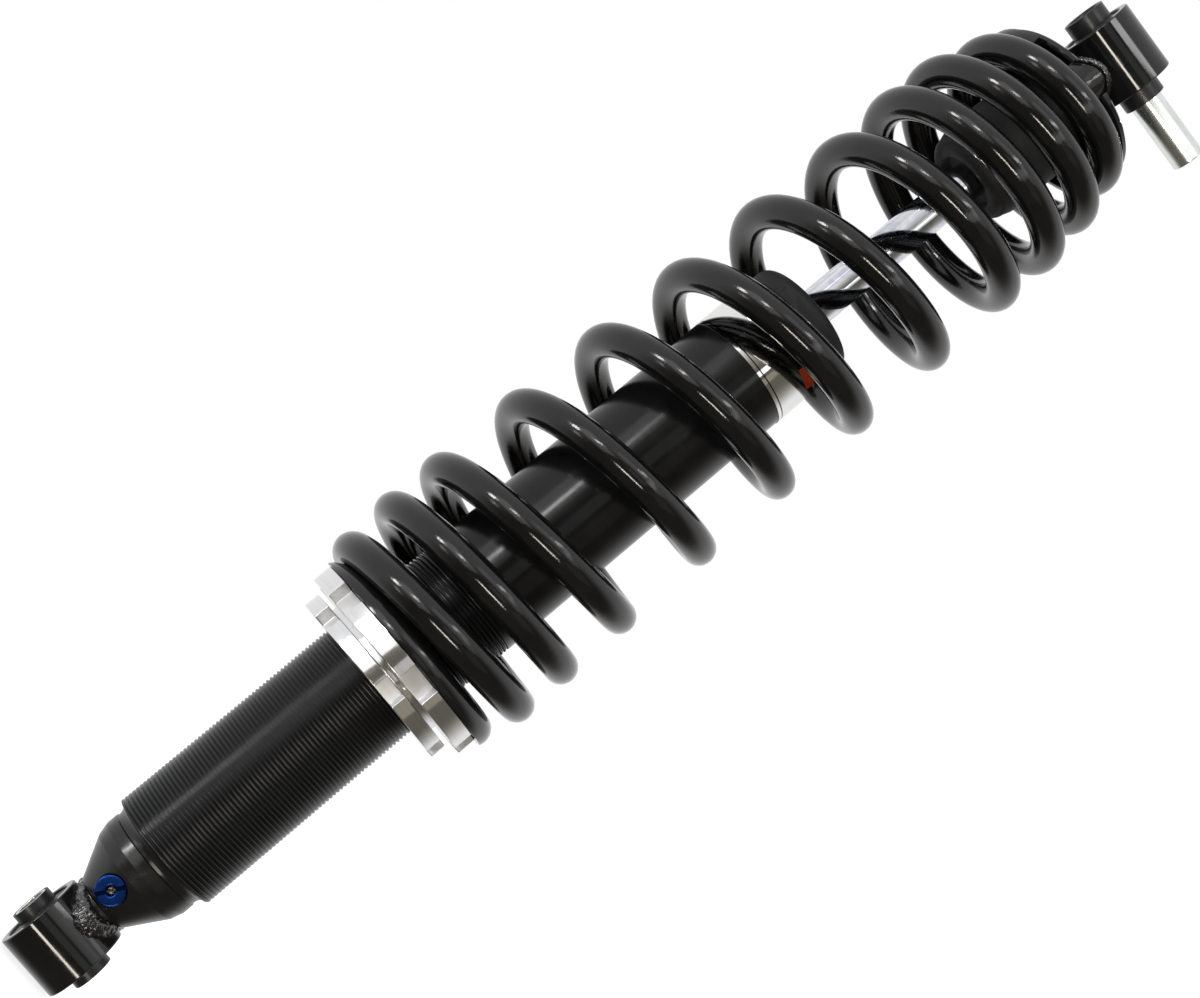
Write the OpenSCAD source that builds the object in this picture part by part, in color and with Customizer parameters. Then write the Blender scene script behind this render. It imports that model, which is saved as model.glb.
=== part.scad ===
// Coil-over gas shock absorber with a threaded body.
// Z runs along the strut, from the lower eye (origin) to the upper eye. X runs along both eye bores.
// The strut is drawn at full length, with its spring lightly loaded.

/* [Body tube] */
// Outside diameter of the tube, over its thread
tube_d = 44; // [40:0.5:50]
// Bore of the tube
bore_d = 36; // [34:0.5:38]
// Length of the tube
tube_len = 274; // [255:1:300]
// Chamfer at the start of the thread
thread_chamfer = 0.5; // [0.3:0.1:2]

/* [End cone] */
// Height of the tube's lower end over the centre of the lower eye
cone_top = 42; // [38:0.5:52]
// Diameter of the neck that is welded to the eye
neck_d = 20.6; // [17:0.2:24]
// Straight length of the neck over the eye
neck_len = 2; // [0.5:0.1:4]
// Diameter of the plain band under the flare
band_d = 38.6; // [34:0.2:39.4]
// Height of the plain band
band_h = 4.3; // [3:0.1:8]
// Depth of the groove between the band and the flare
band_groove = 0.4; // [0.1:0.1:0.8]
// Height of the flare between the band and the thread
flare_h = 3.7; // [2:0.1:6]
// Height of the shoulder between the cone and the band
shoulder_h = 4.2; // [1:0.1:5]
// Radial rise of the shoulder
shoulder_rise = 1.2; // [0.5:0.1:3]
// Length of the spigot in the tube
spigot_len = 15; // [10:0.5:25]
// Width of the weld bead along the neck
weld_leg = 3.4; // [2:0.1:5]

/* [Fill port] */
// Height of the fill screw over the centre of the lower eye
fill_z = 23.2; // [22:0.1:26]
// Direction of the fill screw, from +X
fill_dir = -103; // [-140:1:-80]
// Diameter of the screw's head
fill_head_d = 10.5; // [8:0.1:11]
// Thickness of the screw's head
fill_head_h = 3; // [2:0.1:4]
// Distance of the screw's face from the strut's axis
fill_face_r = 15; // [14:0.1:17]
// Diameter of the screw's shank
fill_shank_d = 6; // [5:0.5:7]
// Length of the screw's shank
fill_shank_len = 6; // [4:0.5:7]
// Width of the screwdriver slot
fill_slot_w = 1.4; // [0.8:0.1:2]
// Angle of the slot
fill_slot_angle = 117; // [0:1:180]
// Bore of the gas passage
gas_bore_d = 3; // [2:0.5:4]

/* [Lower eye] */
// Outside diameter of the lower eye
eye_d = 29; // [27:0.5:33]
// Length of the lower eye
eye_len = 23.6; // [20:0.2:30]
// Diameter of the bushing's collar
collar_d = 13.8; // [13.5:0.1:18]
// How far each collar stands out of the eye
collar_out = 3.8; // [1:0.1:6]

/* [Upper eye] */
// Outside diameter of the upper eye
top_eye_d = 28.5; // [26.5:0.5:32]
// Length of the upper eye
top_eye_len = 26.7; // [22:0.1:32]
// Diameter of the upper bushing's collar
top_collar_d = 15.8; // [14:0.1:19]
// How far the collar stands out on the -X side
top_collar_near = 6.2; // [2:0.1:7]
// How far the collar stands out on the +X side
top_collar_far = 6; // [2:0.1:7]
// How far the upper sleeve stands out of its collar
sleeve_out = 27.3; // [0:0.1:30]

/* [Sleeves and bushings] */
// Wall of both eyes
eye_wall = 3; // [2:0.1:4]
// Outside diameter of both sleeves
sleeve_d = 12; // [11:0.1:13]
// Bore of both sleeves, for the mounting bolt
bolt_bore_d = 10.2; // [8.2:0.1:10.4]
// How deep the bushings sit below the eyes' end faces
bushing_recess = 0.8; // [0:0.1:2]
// Gap between the two halves of a bushing
bushing_split = 0.6; // [0.2:0.1:2]
// Chamfer on the eyes, the collars and the sleeves
edge = 0.5; // [0.2:0.1:0.7]

/* [Rod] */
// Diameter of the rod
rod_d = 14; // [12:0.5:16]
// Length of rod between the end cap and the bump stop
rod_free = 77; // [60:1:90]
// Diameter of the spigot that carries the piston
piston_spigot_d = 9; // [8:0.5:10]
// Diameter of the thread in the rod boss
boss_thread_d = 10; // [8:0.5:11]

/* [Bump stop and retainer] */
// Diameter of the bump stop
bump_d = 38; // [32:0.2:38.4]
// Length of the bump stop
bump_len = 43; // [35:0.5:55]
// Radius of the bump stop's lower rim
bump_round = 4; // [1:0.5:5]
// Height of the taper at its lower end
bump_taper_h = 9; // [6:0.5:14]
// Diameter that the bump stop loses over the taper
bump_taper = 3; // [0:0.2:5]
// Diameter of the dish in its lower face
bump_dish_d = 22; // [18:0.5:24]
// Depth of the dish
bump_dish_h = 3; // [1:0.5:4]
// Diameter of the cup washer over the bump stop
cup_d = 34; // [26:0.5:38]
// Thickness of the cup washer
cup_t = 2; // [1:0.1:3]
// Diameter of the spring retainer
retainer_d = 64; // [62:0.5:74]
// Thickness of the spring retainer
retainer_t = 3; // [2:0.1:5]
// Width of the retainer's slot
retainer_slot_w = 15.5; // [14.2:0.1:17.5]
// Direction of the slot, from +X
retainer_slot_dir = -98; // [-180:1:180]
// Diameter of the rod boss under the upper eye
boss_d = 18; // [17.8:0.1:22]
// Length of the rod boss up to the eye
boss_len = 13; // [8:0.5:16]

/* [Spring] */
// Diameter of the wire
wire_d = 12; // [10:0.2:12.6]
// Diameter of the coils, through the middle of the wire
coil_d = 76; // [74:0.5:84]
// Number of turns
turns = 12; // [10:1:12]
// Rise of the close turns at both ends, per turn
end_pitch = 19.4; // [16:0.1:21]
// Radius lost by the lowest turn
taper_low = 4; // [0:0.1:6]
// Radius lost by the uppermost turn
taper_top = 10; // [0:0.1:10]
// Direction in which the lower end of the wire starts, from +X
start_angle = 222.4; // [0:0.1:360]

/* [Preload rings] */
// Height of the spring seat over the centre of the lower eye
seat_z = 142; // [120:1:160]
// Diameter of the preload ring
ring_d = 75.4; // [72:0.2:84]
// Thickness of the preload ring
ring_h = 7; // [5:0.1:10]
// Diameter of the hub below the preload ring
hub_d = 52; // [48:0.5:56]
// Height of the hub
hub_h = 2; // [1:0.1:4]
// Diameter of the lock ring
lock_d = 66; // [62:0.2:72]
// Thickness of the lock ring
lock_h = 5.6; // [4:0.1:9]
// Number of spanner slots in each ring
slots = 6; // [4:1:8]
// Width of the slots in the preload ring
ring_slot_w = 11.4; // [6:0.1:13]
// Width of the slots in the lock ring
lock_slot_w = 8.7; // [6:0.1:11]
// Depth of the slots
slot_depth = 5; // [3:0.1:6]
// Direction of the preload ring's first slot, from +X
ring_slot_dir = 40; // [0:1:60]
// Direction of the lock ring's first slot, from +X
lock_slot_dir = 35; // [0:1:60]
// Chamfer on the rings
ring_chamfer = 0.7; // [0.3:0.1:1.2]

/* [Label] */
// Distance of the label below the tube's upper end
label_drop = 7.5; // [2:0.5:60]
// Width of the label along the tube
label_w = 16.5; // [8:0.5:20]
// Thickness of the label
label_t = 0.15; // [0.1:0.05:0.2]

/* [End cap and seals] */
// Height of the end cap over the tube
cap_h = 8.5; // [7.5:0.5:14]
// Radius of the end cap's rim
cap_round = 3; // [1:0.5:4]
// Length of the cap inside the tube
cap_spigot = 4; // [2:0.5:8]
// Outside diameter of the wiper and the rod seal
seal_d = 22; // [19:0.5:24]
// Height of the wiper
wiper_h = 5; // [3:0.5:6]
// Height of the rod seal
seal_h = 6; // [4:0.5:8]
// Wire of the retaining clip
clip_wire = 2; // [1.5:0.1:2.5]
// Length of the seal head
head_len = 24; // [20:0.5:30]
// Outside diameter of the rod bush
bush_d = 18; // [16:0.5:20]
// Length of the rod bush
bush_len = 12; // [8:0.5:14]
// Section of the O-rings
oring_d = 2.6; // [2:0.1:3]

/* [Piston] */
// Height of the piston
piston_h = 14; // [10:0.5:18]
// Height of the piston's band
band_ring_h = 8; // [5:0.5:9]
// Thickness of the band
band_ring_t = 1.8; // [1:0.1:2.5]
// Radial gap between the piston and the bore
piston_gap = 0.4; // [0.2:0.1:1]
// Number of flow ports
ports = 6; // [4:1:8]
// Diameter of the flow ports
port_d = 4; // [2:0.5:5]
// Circle of the flow ports
port_circle_d = 24; // [22:0.5:26]
// Number of shims in each stack
shims = 5; // [3:1:8]
// Thickness of one shim
shim_t = 0.5; // [0.2:0.1:0.6]
// Diameter of the shim against the piston
shim_d = 30; // [28:0.5:31]
// Diameter lost from one shim to the next
shim_step = 2; // [1:0.1:2]
// Height of the piston nut
nut_h = 7; // [5:0.5:9]
// Size of the nut across its flats
nut_af = 15; // [13:0.5:17]
// Thickness of the top-out bumper
topout_h = 6; // [3:0.5:10]
// Diameter of the top-out bumper
topout_d = 26; // [20:0.5:30]

/* [Floating piston] */
// Height of its top face over the tube's lower end
float_z = 101; // [90:1:115]
// Height of the floating piston
float_h = 16; // [12:0.5:22]
// Depth of the hollow below it
float_hollow = 9; // [4:0.5:9]

/* [Clearances] */
// Radial gap of a running fit
run = 0.03; // [0.02:0.01:0.08]
// Radial gap around a piece that stays put
snug = 0.02; // [0.01:0.01:0.05]
// Gap between faces that only meet in use
face_gap = 0.3; // [0.2:0.05:0.6]

/* [Hidden] */

$fn = 96;
black = "#1d1d20";
rubber = "#151517";
aluminium = "#c3c6ca";
chrome = "#d9dbde";
steel = "#8d9095";
eps = 0.01;

tube_r = tube_d / 2;
bore_r = bore_d / 2;
rod_r = rod_d / 2;
// Heights along the strut, from the lower eye upward
tube_top = cone_top + tube_len;
cap_top = tube_top + cap_h;
bump_z = cap_top + rod_free;
bump_top = bump_z + bump_len;
retainer_z = bump_top + cup_t;
boss_z = retainer_z + retainer_t;
top_eye_z = boss_z + boss_len + top_eye_d / 2;
// Heights inside the tube, from the end cap downward
clip_z = tube_top - cap_spigot - clip_wire / 2;
head_top = clip_z - clip_wire / 2;
head_bottom = head_top - head_len;
seal_z = head_top - seal_h;
bush_z = head_bottom + 2;
bumper_z = head_bottom - face_gap - topout_h;
stack_h = shims * shim_t;
piston_top = bumper_z - stack_h;
piston_z = piston_top - piston_h;
nut_z = piston_z - stack_h - nut_h;
thread_out = 2;
float_top = cone_top + float_z;
// Ring seats
hub_z = seat_z - ring_h - hub_h;
lock_z = hub_z - lock_h;

function smooth(t, a, b) = let (x = max(0, min(1, (t - a) / (b - a)))) x * x * (3 - 2 * x);

// A solid of revolution that lies along X, its profile given as [radius, distance]
module along_x(at = [0, 0, 0]) {
    translate(at) rotate([0, 90, 0]) rotate_extrude() children();
}

// A tube along X with chamfered ends
module bush_tube(d, bore, len, cut = edge) {
    r = d / 2;
    along_x([-len / 2, 0, 0])
        polygon([[bore / 2, 0], [r - cut, 0], [r, cut], [r, len - cut], [r - cut, len], [bore / 2, len]]);
}

// One half of an eye bushing, from the middle of the eye out to its collar
module bushing_half(eye_bore, len, collar, out) {
    r = eye_bore / 2 - snug;
    shoulder = len / 2 - bushing_recess;
    tip = len / 2 + out;
    along_x()
        polygon([[sleeve_d / 2 + run, bushing_split / 2], [r, bushing_split / 2], [r, shoulder],
            [collar / 2, shoulder], [collar / 2, tip - edge], [collar / 2 - edge, tip],
            [sleeve_d / 2 + run + edge, tip], [sleeve_d / 2 + run, tip - edge]]);
}

// The bead in the corner between an upright neck and an eye, following the saddle where they meet.
// It runs out on the neck at the height top, over the centre of the eye.
module saddle_bead(neck, eye, leg, top) {
    difference() {
        intersection() {
            rotate([0, 90, 0]) cylinder(d = eye + 2 * leg, h = neck + 4 * leg, center = true);
            cylinder(d1 = neck + 5 * leg, d2 = neck, h = top);
        }
        rotate([0, 90, 0]) cylinder(d = eye + 2 * snug, h = neck + 5 * leg, center = true);
        cylinder(d = neck + 2 * snug, h = eye);
        translate([0, 0, -eye]) cylinder(d = 3 * eye, h = eye + neck / 4);
    }
}

// A castellated spanner ring with chamfered rims
module spanner_ring(d, h, slot_w, slot_dir) {
    r = d / 2;
    c = ring_chamfer;
    bore = tube_r + run;
    difference() {
        rotate_extrude()
            polygon([[bore, c], [bore + c, 0], [r - c, 0], [r, c], [r, h - c], [r - c, h],
                [bore + c, h], [bore, h - c]]);
        for (i = [0:slots - 1])
            rotate([0, 0, slot_dir + i * 360 / slots])
                translate([r - slot_depth, -slot_w / 2, -eps]) cube([slot_depth + 2, slot_w, h + 2 * eps]);
    }
}

// A stack of round shims, the largest one at the piston
module shim_stack(up) {
    for (i = [0:shims - 1])
        translate([0, 0, up ? i * shim_t : -(i + 1) * shim_t])
            difference() {
                cylinder(d = shim_d - i * shim_step, h = shim_t);
                translate([0, 0, -eps]) cylinder(d = piston_spigot_d + 2 * snug, h = shim_t + 2 * eps);
            }
}

// An O-ring that fills the gap between a groove and the bore outside it
module oring(outer_r) {
    rotate_extrude() translate([outer_r - oring_d / 2, 0]) circle(d = oring_d, $fn = 24);
}

module lower_eye() {
    color(black) bush_tube(eye_d, eye_d - 2 * eye_wall, eye_len);
}

module lower_weld() {
    color(black) saddle_bead(neck_d, eye_d, weld_leg, eye_d / 2 + neck_len);
}

module lower_bushings() {
    color(rubber)
        for (side = [0, 1])
            mirror([side, 0, 0]) bushing_half(eye_d - 2 * eye_wall, eye_len, collar_d, collar_out);
}

module lower_sleeve() {
    color(steel) bush_tube(sleeve_d, bolt_bore_d, eye_len + 2 * collar_out);
}

module end_cone() {
    cone_bottom = eye_d / 2 + neck_len;
    band_z = cone_top - flare_h - band_h;
    band_r = band_d / 2;
    flare_r = tube_r - thread_chamfer;
    flare_z = band_z + band_h;
    foot_r = band_r - band_groove;
    flare = [for (a = [0:15:90]) [foot_r + (flare_r - foot_r) * (1 - cos(a)), flare_z + flare_h * sin(a)]];
    color(black)
        difference() {
            rotate_extrude()
                polygon(concat([[0, 0], [neck_d / 2, 0], [neck_d / 2, cone_bottom],
                    [band_r - shoulder_rise, band_z - shoulder_h], [band_r, band_z],
                    [band_r, flare_z - band_groove]], flare,
                    [[bore_r - snug, cone_top], [bore_r - snug, cone_top + spigot_len - 1],
                    [bore_r - 1, cone_top + spigot_len], [0, cone_top + spigot_len]]));
            rotate([0, 90, 0]) cylinder(d = eye_d, h = 2 * eye_d, center = true);
            // Spot face, screw hole and gas passage
            translate([0, 0, fill_z]) rotate([90, 0, fill_dir + 90]) {
                translate([0, 0, fill_face_r - fill_head_h]) cylinder(d = fill_head_d + 0.8, h = tube_d);
                cylinder(d = fill_shank_d + 2 * snug, h = tube_d);
            }
            translate([0, 0, fill_z]) cylinder(d = gas_bore_d, h = cone_top + spigot_len);
        }
}

module fill_screw() {
    color("#1d4f9e")
        rotate([0, 0, fill_dir + 90]) translate([0, -fill_face_r, fill_z]) rotate([-90, fill_slot_angle, 0])
            difference() {
                union() {
                    rotate_extrude()
                        polygon([[0, 0], [fill_head_d / 2 - 0.6, 0], [fill_head_d / 2, 0.6],
                            [fill_head_d / 2, fill_head_h], [0, fill_head_h]]);
                    cylinder(d = fill_shank_d, h = fill_head_h + fill_shank_len);
                }
                translate([0, 0, -eps]) cylinder(d = fill_head_d / 3, h = fill_head_h * 0.7);
                translate([-fill_head_d, -fill_slot_w / 2, -eps])
                    cube([2 * fill_head_d, fill_slot_w, fill_head_h * 0.4]);
            }
}

module fill_pellet() {
    pellet = fill_face_r - fill_head_h - fill_shank_len - gas_bore_d / 2;
    color(rubber)
        rotate([0, 0, fill_dir + 90]) translate([0, -gas_bore_d / 2, fill_z]) rotate([90, 0, 0])
            cylinder(d = fill_shank_d, h = pellet);
}

module shock_body() {
    groove_r = bore_r + clip_wire / 2;
    color(black)
        translate([0, 0, cone_top]) rotate_extrude()
            polygon([[bore_r, 0], [tube_r - thread_chamfer, 0], [tube_r, thread_chamfer],
                [tube_r, tube_len], [bore_r, tube_len],
                [bore_r, clip_z - cone_top + clip_wire / 2], [groove_r, clip_z - cone_top + clip_wire / 2],
                [groove_r, clip_z - cone_top - clip_wire / 2], [bore_r, clip_z - cone_top - clip_wire / 2]]);
}

module label_band() {
    color("#b8babd")
        translate([0, 0, tube_top - label_drop - label_w])
            difference() {
                cylinder(r = tube_r + label_t, h = label_w);
                translate([0, 0, -eps]) cylinder(r = tube_r, h = label_w + 2 * eps);
            }
}

module end_cap() {
    r = cap_round;
    rim = [for (a = [0:15:90]) [tube_r - r + r * cos(a), cap_top - r + r * sin(a)]];
    color(black)
        rotate_extrude()
            polygon(concat([[rod_r + 0.5, tube_top - cap_spigot], [bore_r - snug, tube_top - cap_spigot],
                [bore_r - snug, tube_top], [tube_r, tube_top]], rim,
                [[seal_d / 2, cap_top], [seal_d / 2, cap_top - wiper_h], [rod_r + 0.5, cap_top - wiper_h]]));
}

module wiper() {
    lip = 1;
    color(rubber)
        translate([0, 0, cap_top - wiper_h]) rotate_extrude()
            polygon([[rod_r + run, 0], [seal_d / 2 - snug, 0], [seal_d / 2 - snug, wiper_h],
                [rod_r + 1.6, wiper_h], [rod_r + 1, wiper_h + lip], [rod_r + run, wiper_h + lip]]);
}

module retaining_clip() {
    color(steel)
        translate([0, 0, clip_z])
            difference() {
                rotate_extrude() translate([bore_r, 0]) circle(d = clip_wire - 2 * snug, $fn = 24);
                translate([0, -2, -clip_wire]) cube([tube_r, 4, 2 * clip_wire]);
            }
}

module seal_head() {
    groove_z = head_bottom + head_len / 2;
    groove_r = bore_r - oring_d;
    color(aluminium)
        rotate_extrude()
            polygon([[bush_d / 2, head_bottom + 2], [rod_r + 0.5, head_bottom + 2],
                [rod_r + 0.5, head_bottom], [bore_r - 1, head_bottom], [bore_r - snug, head_bottom + 1],
                [bore_r - snug, groove_z - oring_d * 0.6], [groove_r, groove_z - oring_d * 0.6],
                [groove_r, groove_z + oring_d * 0.6], [bore_r - snug, groove_z + oring_d * 0.6],
                [bore_r - snug, head_top], [seal_d / 2, head_top], [seal_d / 2, seal_z],
                [rod_r + 0.5, seal_z], [rod_r + 0.5, bush_z + bush_len], [bush_d / 2, bush_z + bush_len]]);
}

module head_oring() {
    color(rubber) translate([0, 0, head_bottom + head_len / 2]) oring(bore_r);
}

module rod_seal() {
    color(rubber)
        translate([0, 0, seal_z]) rotate_extrude()
            polygon([[rod_r + run, 0], [seal_d / 2 - snug, 0], [seal_d / 2 - snug, seal_h],
                [rod_r + 2, seal_h], [rod_r + 1.6, seal_h - 2], [rod_r + run, seal_h - 1]]);
}

module rod_bush() {
    color("#8c7b58")
        translate([0, 0, bush_z])
            difference() {
                cylinder(d = bush_d - 2 * snug, h = bush_len);
                translate([0, 0, -eps]) cylinder(r = rod_r + run, h = bush_len + 2 * eps);
            }
}

module floating_piston() {
    r = bore_r - run;
    groove_z = float_top - float_h / 2;
    groove_r = bore_r - run - oring_d;
    color(aluminium)
        difference() {
            translate([0, 0, float_top - float_h])
                rotate_extrude()
                    polygon([[0, 0], [r - 1, 0], [r, 1], [r, float_h - 1], [r - 1, float_h], [0, float_h]]);
            translate([0, 0, float_top - float_h - eps]) cylinder(r = bore_r - 6, h = float_hollow);
            translate([0, 0, groove_z - oring_d * 0.6])
                difference() {
                    cylinder(r = tube_r, h = oring_d * 1.2);
                    translate([0, 0, -eps]) cylinder(r = groove_r, h = oring_d * 1.2 + 2 * eps);
                }
        }
}

module floating_oring() {
    color(rubber) translate([0, 0, float_top - float_h / 2]) oring(bore_r - run);
}

module rod() {
    spigot_r = piston_spigot_d / 2;
    color(chrome)
        rotate_extrude()
            polygon([[0, nut_z - thread_out], [spigot_r - 0.5, nut_z - thread_out],
                [spigot_r, nut_z - thread_out + 0.5], [spigot_r, bumper_z], [rod_r, bumper_z],
                [rod_r, boss_z], [boss_thread_d / 2, boss_z], [boss_thread_d / 2, boss_z + boss_len - 2],
                [0, boss_z + boss_len - 2]]);
}

module topout_bumper() {
    color(rubber)
        translate([0, 0, bumper_z])
            difference() {
                cylinder(d = topout_d, h = topout_h);
                translate([0, 0, -eps]) cylinder(r = rod_r + snug, h = topout_h + 2 * eps);
            }
}

module compression_shims() {
    color(steel) translate([0, 0, piston_top]) shim_stack(true);
}

module piston() {
    r = bore_r - piston_gap;
    band_r = bore_r - run - band_ring_t;
    low = (piston_h - band_ring_h) / 2;
    color(aluminium)
        translate([0, 0, piston_z])
            difference() {
                rotate_extrude()
                    polygon([[0, 0], [r, 0], [r, low], [band_r, low], [band_r, low + band_ring_h],
                        [r, low + band_ring_h], [r, piston_h], [0, piston_h]]);
                translate([0, 0, -eps]) cylinder(d = piston_spigot_d + 2 * snug, h = piston_h + 2 * eps);
                for (i = [0:ports - 1])
                    rotate([0, 0, i * 360 / ports]) translate([port_circle_d / 2, 0, -eps])
                        cylinder(d = port_d, h = piston_h + 2 * eps, $fn = 32);
            }
}

module piston_band() {
    low = (piston_h - band_ring_h) / 2;
    color("#4b3a2c")
        translate([0, 0, piston_z + low + snug])
            difference() {
                cylinder(r = bore_r - run, h = band_ring_h - 2 * snug);
                translate([0, 0, -eps]) cylinder(r = bore_r - run - band_ring_t + snug, h = band_ring_h);
            }
}

module rebound_shims() {
    color(steel) translate([0, 0, piston_z]) shim_stack(false);
}

module piston_nut() {
    color(steel)
        translate([0, 0, nut_z])
            difference() {
                cylinder(d = nut_af / cos(30), h = nut_h, $fn = 6);
                translate([0, 0, -eps]) cylinder(d = piston_spigot_d + 2 * snug, h = nut_h + 2 * eps);
            }
}

module lock_ring() {
    color(aluminium) translate([0, 0, lock_z]) spanner_ring(lock_d, lock_h, lock_slot_w, lock_slot_dir);
}

module preload_ring() {
    color(aluminium) {
        difference() {
            union() {
                translate([0, 0, seat_z - ring_h]) spanner_ring(ring_d, ring_h, ring_slot_w, ring_slot_dir);
                translate([0, 0, hub_z]) cylinder(d = hub_d, h = hub_h + ring_h / 2);
            }
            translate([0, 0, hub_z - eps]) cylinder(r = tube_r + run, h = ring_h + hub_h + 2 * eps);
        }
    }
}

// Rise of the spring per turn after t turns: small where the ends lie down, end_pitch over the close
// turns, and open_pitch between them, chosen so that the spring fills the room between its seats.
spring_steps = 8;
spring_sides = 6;
lie_pitch = 3.2;
rings = turns * spring_steps;
spring_top = retainer_z - face_gap;
tip_rise = 0.8;
function close_part(t) = smooth(t, 0.3, 0.8) - smooth(t, turns - 1.45, turns);
function open_part(t) = smooth(t, 2.45, 3.45) - smooth(t, turns - 4.4, turns - 2.95);
function total(v) = v * [for (x = v) 1];
steps = [for (i = [0:rings - 1]) (i + 0.5) / spring_steps];
close_sum = total([for (t = steps) lie_pitch + (end_pitch - lie_pitch) * close_part(t)]) / spring_steps;
open_sum = total([for (t = steps) open_part(t)]) / spring_steps;
extra_pitch = (spring_top - seat_z - 2 * tip_rise - close_sum) / open_sum;
function pitch(t) = lie_pitch + (end_pitch - lie_pitch) * close_part(t) + extra_pitch * open_part(t);
function coil_r(t) = coil_d / 2 - taper_low * (1 - smooth(t, 0.4, 1.1)) - taper_top * smooth(t, turns - 2.6, turns);
coil_z = [for (i = 0, z = seat_z + tip_rise; i <= rings; z = z + pitch((i + 0.5) / spring_steps) / spring_steps,
    i = i + 1) z];
// One ring of points round the wire, ground flat where it meets a seat
function wire_ring(i) =
    let (t = i / spring_steps, a = start_angle + 360 * t, r = coil_r(t))
    [for (j = [0:spring_sides - 1])
        let (b = 360 * j / spring_sides, q = r + wire_d / 2 * cos(b), z = coil_z[i] + wire_d / 2 * sin(b))
        [q * cos(a), q * sin(a), max(seat_z, min(spring_top, z))]];
spring_points = [for (i = [0:rings]) each wire_ring(i)];
spring_faces = concat(
    [for (i = [0:rings - 1], j = [0:spring_sides - 1])
        let (k = (j + 1) % spring_sides, p = i * spring_sides, q = p + spring_sides)
        each [[p + j, q + j, q + k], [p + j, q + k, p + k]]],
    [for (j = [1:spring_sides - 2]) [0, j, j + 1]],
    [for (j = [1:spring_sides - 2]) [0, j + 1, j] + rings * spring_sides * [1, 1, 1]]);
spring_gap = min([for (i = [0:rings - spring_steps], s = [spring_steps - 1:spring_steps + 1])
    if (i + s <= rings)
        for (j = [0:spring_sides - 1], k = [0:spring_sides - 1])
            norm(spring_points[i * spring_sides + j] - spring_points[(i + s) * spring_sides + k])]);
echo(str("coil_spring: least gap to itself ", spring_gap, " mm"));

module coil_spring() {
    color(black) polyhedron(points = spring_points, faces = spring_faces, convexity = 10);
}

module bump_stop() {
    r = bump_d / 2;
    low_r = r - bump_taper / 2;
    rim = [for (a = [0:15:90]) [low_r - bump_round + bump_round * sin(a), bump_z + bump_round * (1 - cos(a))]];
    color(rubber)
        rotate_extrude()
            polygon(concat([[rod_r + snug, bump_z + bump_dish_h], [bump_dish_d / 2 - 1, bump_z + bump_dish_h],
                [bump_dish_d / 2, bump_z]], rim,
                [[r, bump_z + bump_taper_h], [r, bump_top - 1], [r - 1, bump_top], [rod_r + snug, bump_top]]));
}

module bump_cup() {
    color(steel)
        translate([0, 0, bump_top])
            difference() {
                cylinder(d = cup_d, h = cup_t);
                translate([0, 0, -eps]) cylinder(r = rod_r + snug, h = cup_t + 2 * eps);
            }
}

module spring_retainer() {
    r = retainer_d / 2;
    c = 0.8;
    color(black)
        translate([0, 0, retainer_z])
            difference() {
                rotate_extrude()
                    polygon([[0, 0], [r - c, 0], [r, c], [r, retainer_t - c], [r - c, retainer_t], [0, retainer_t]]);
                rotate([0, 0, retainer_slot_dir])
                    translate([0, -retainer_slot_w / 2, -eps])
                        cube([retainer_d, retainer_slot_w, retainer_t + 2 * eps]);
                translate([0, 0, -eps]) cylinder(d = retainer_slot_w, h = retainer_t + 2 * eps);
            }
}

module rod_boss() {
    color(black)
        difference() {
            translate([0, 0, boss_z]) cylinder(d = boss_d, h = boss_len + top_eye_d / 2);
            translate([0, 0, top_eye_z]) rotate([0, 90, 0]) cylinder(d = top_eye_d, h = 2 * boss_d, center = true);
            translate([0, 0, boss_z - eps]) cylinder(d = boss_thread_d + 2 * snug, h = boss_len - 1.5);
        }
}

module upper_weld() {
    color(black)
        translate([0, 0, top_eye_z]) mirror([0, 0, 1])
            saddle_bead(boss_d, top_eye_d, weld_leg * 0.8, top_eye_d / 2 + weld_leg);
}

module upper_eye() {
    color(black) translate([0, 0, top_eye_z]) bush_tube(top_eye_d, top_eye_d - 2 * eye_wall, top_eye_len);
}

module upper_bushings() {
    bore = top_eye_d - 2 * eye_wall;
    color(rubber)
        translate([0, 0, top_eye_z]) {
            bushing_half(bore, top_eye_len, top_collar_d, top_collar_far);
            mirror([1, 0, 0]) bushing_half(bore, top_eye_len, top_collar_d, top_collar_near);
        }
}

module upper_sleeve() {
    len = top_eye_len + top_collar_near + top_collar_far;
    centre = (top_collar_far - top_collar_near) / 2 + sleeve_out;
    color("#c4c7ca") translate([centre, 0, top_eye_z]) bush_tube(sleeve_d, bolt_bore_d, len);
}

lower_eye();
lower_weld();
lower_bushings();
lower_sleeve();
end_cone();
fill_screw();
fill_pellet();
shock_body();
label_band();
end_cap();
wiper();
retaining_clip();
seal_head();
head_oring();
rod_seal();
rod_bush();
floating_piston();
floating_oring();
rod();
topout_bumper();
compression_shims();
piston();
piston_band();
rebound_shims();
piston_nut();
lock_ring();
preload_ring();
coil_spring();
bump_stop();
bump_cup();
spring_retainer();
rod_boss();
upper_weld();
upper_eye();
upper_bushings();
upper_sleeve();
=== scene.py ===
"""Looks of a coil-over gas shock absorber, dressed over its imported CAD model."""

import sys

import logging
import math
from collections.abc import Iterable, Sequence
from dataclasses import dataclass, field
from enum import Enum
from typing import Any

import bmesh
import bpy
from mathutils import Matrix, Vector, noise


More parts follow.
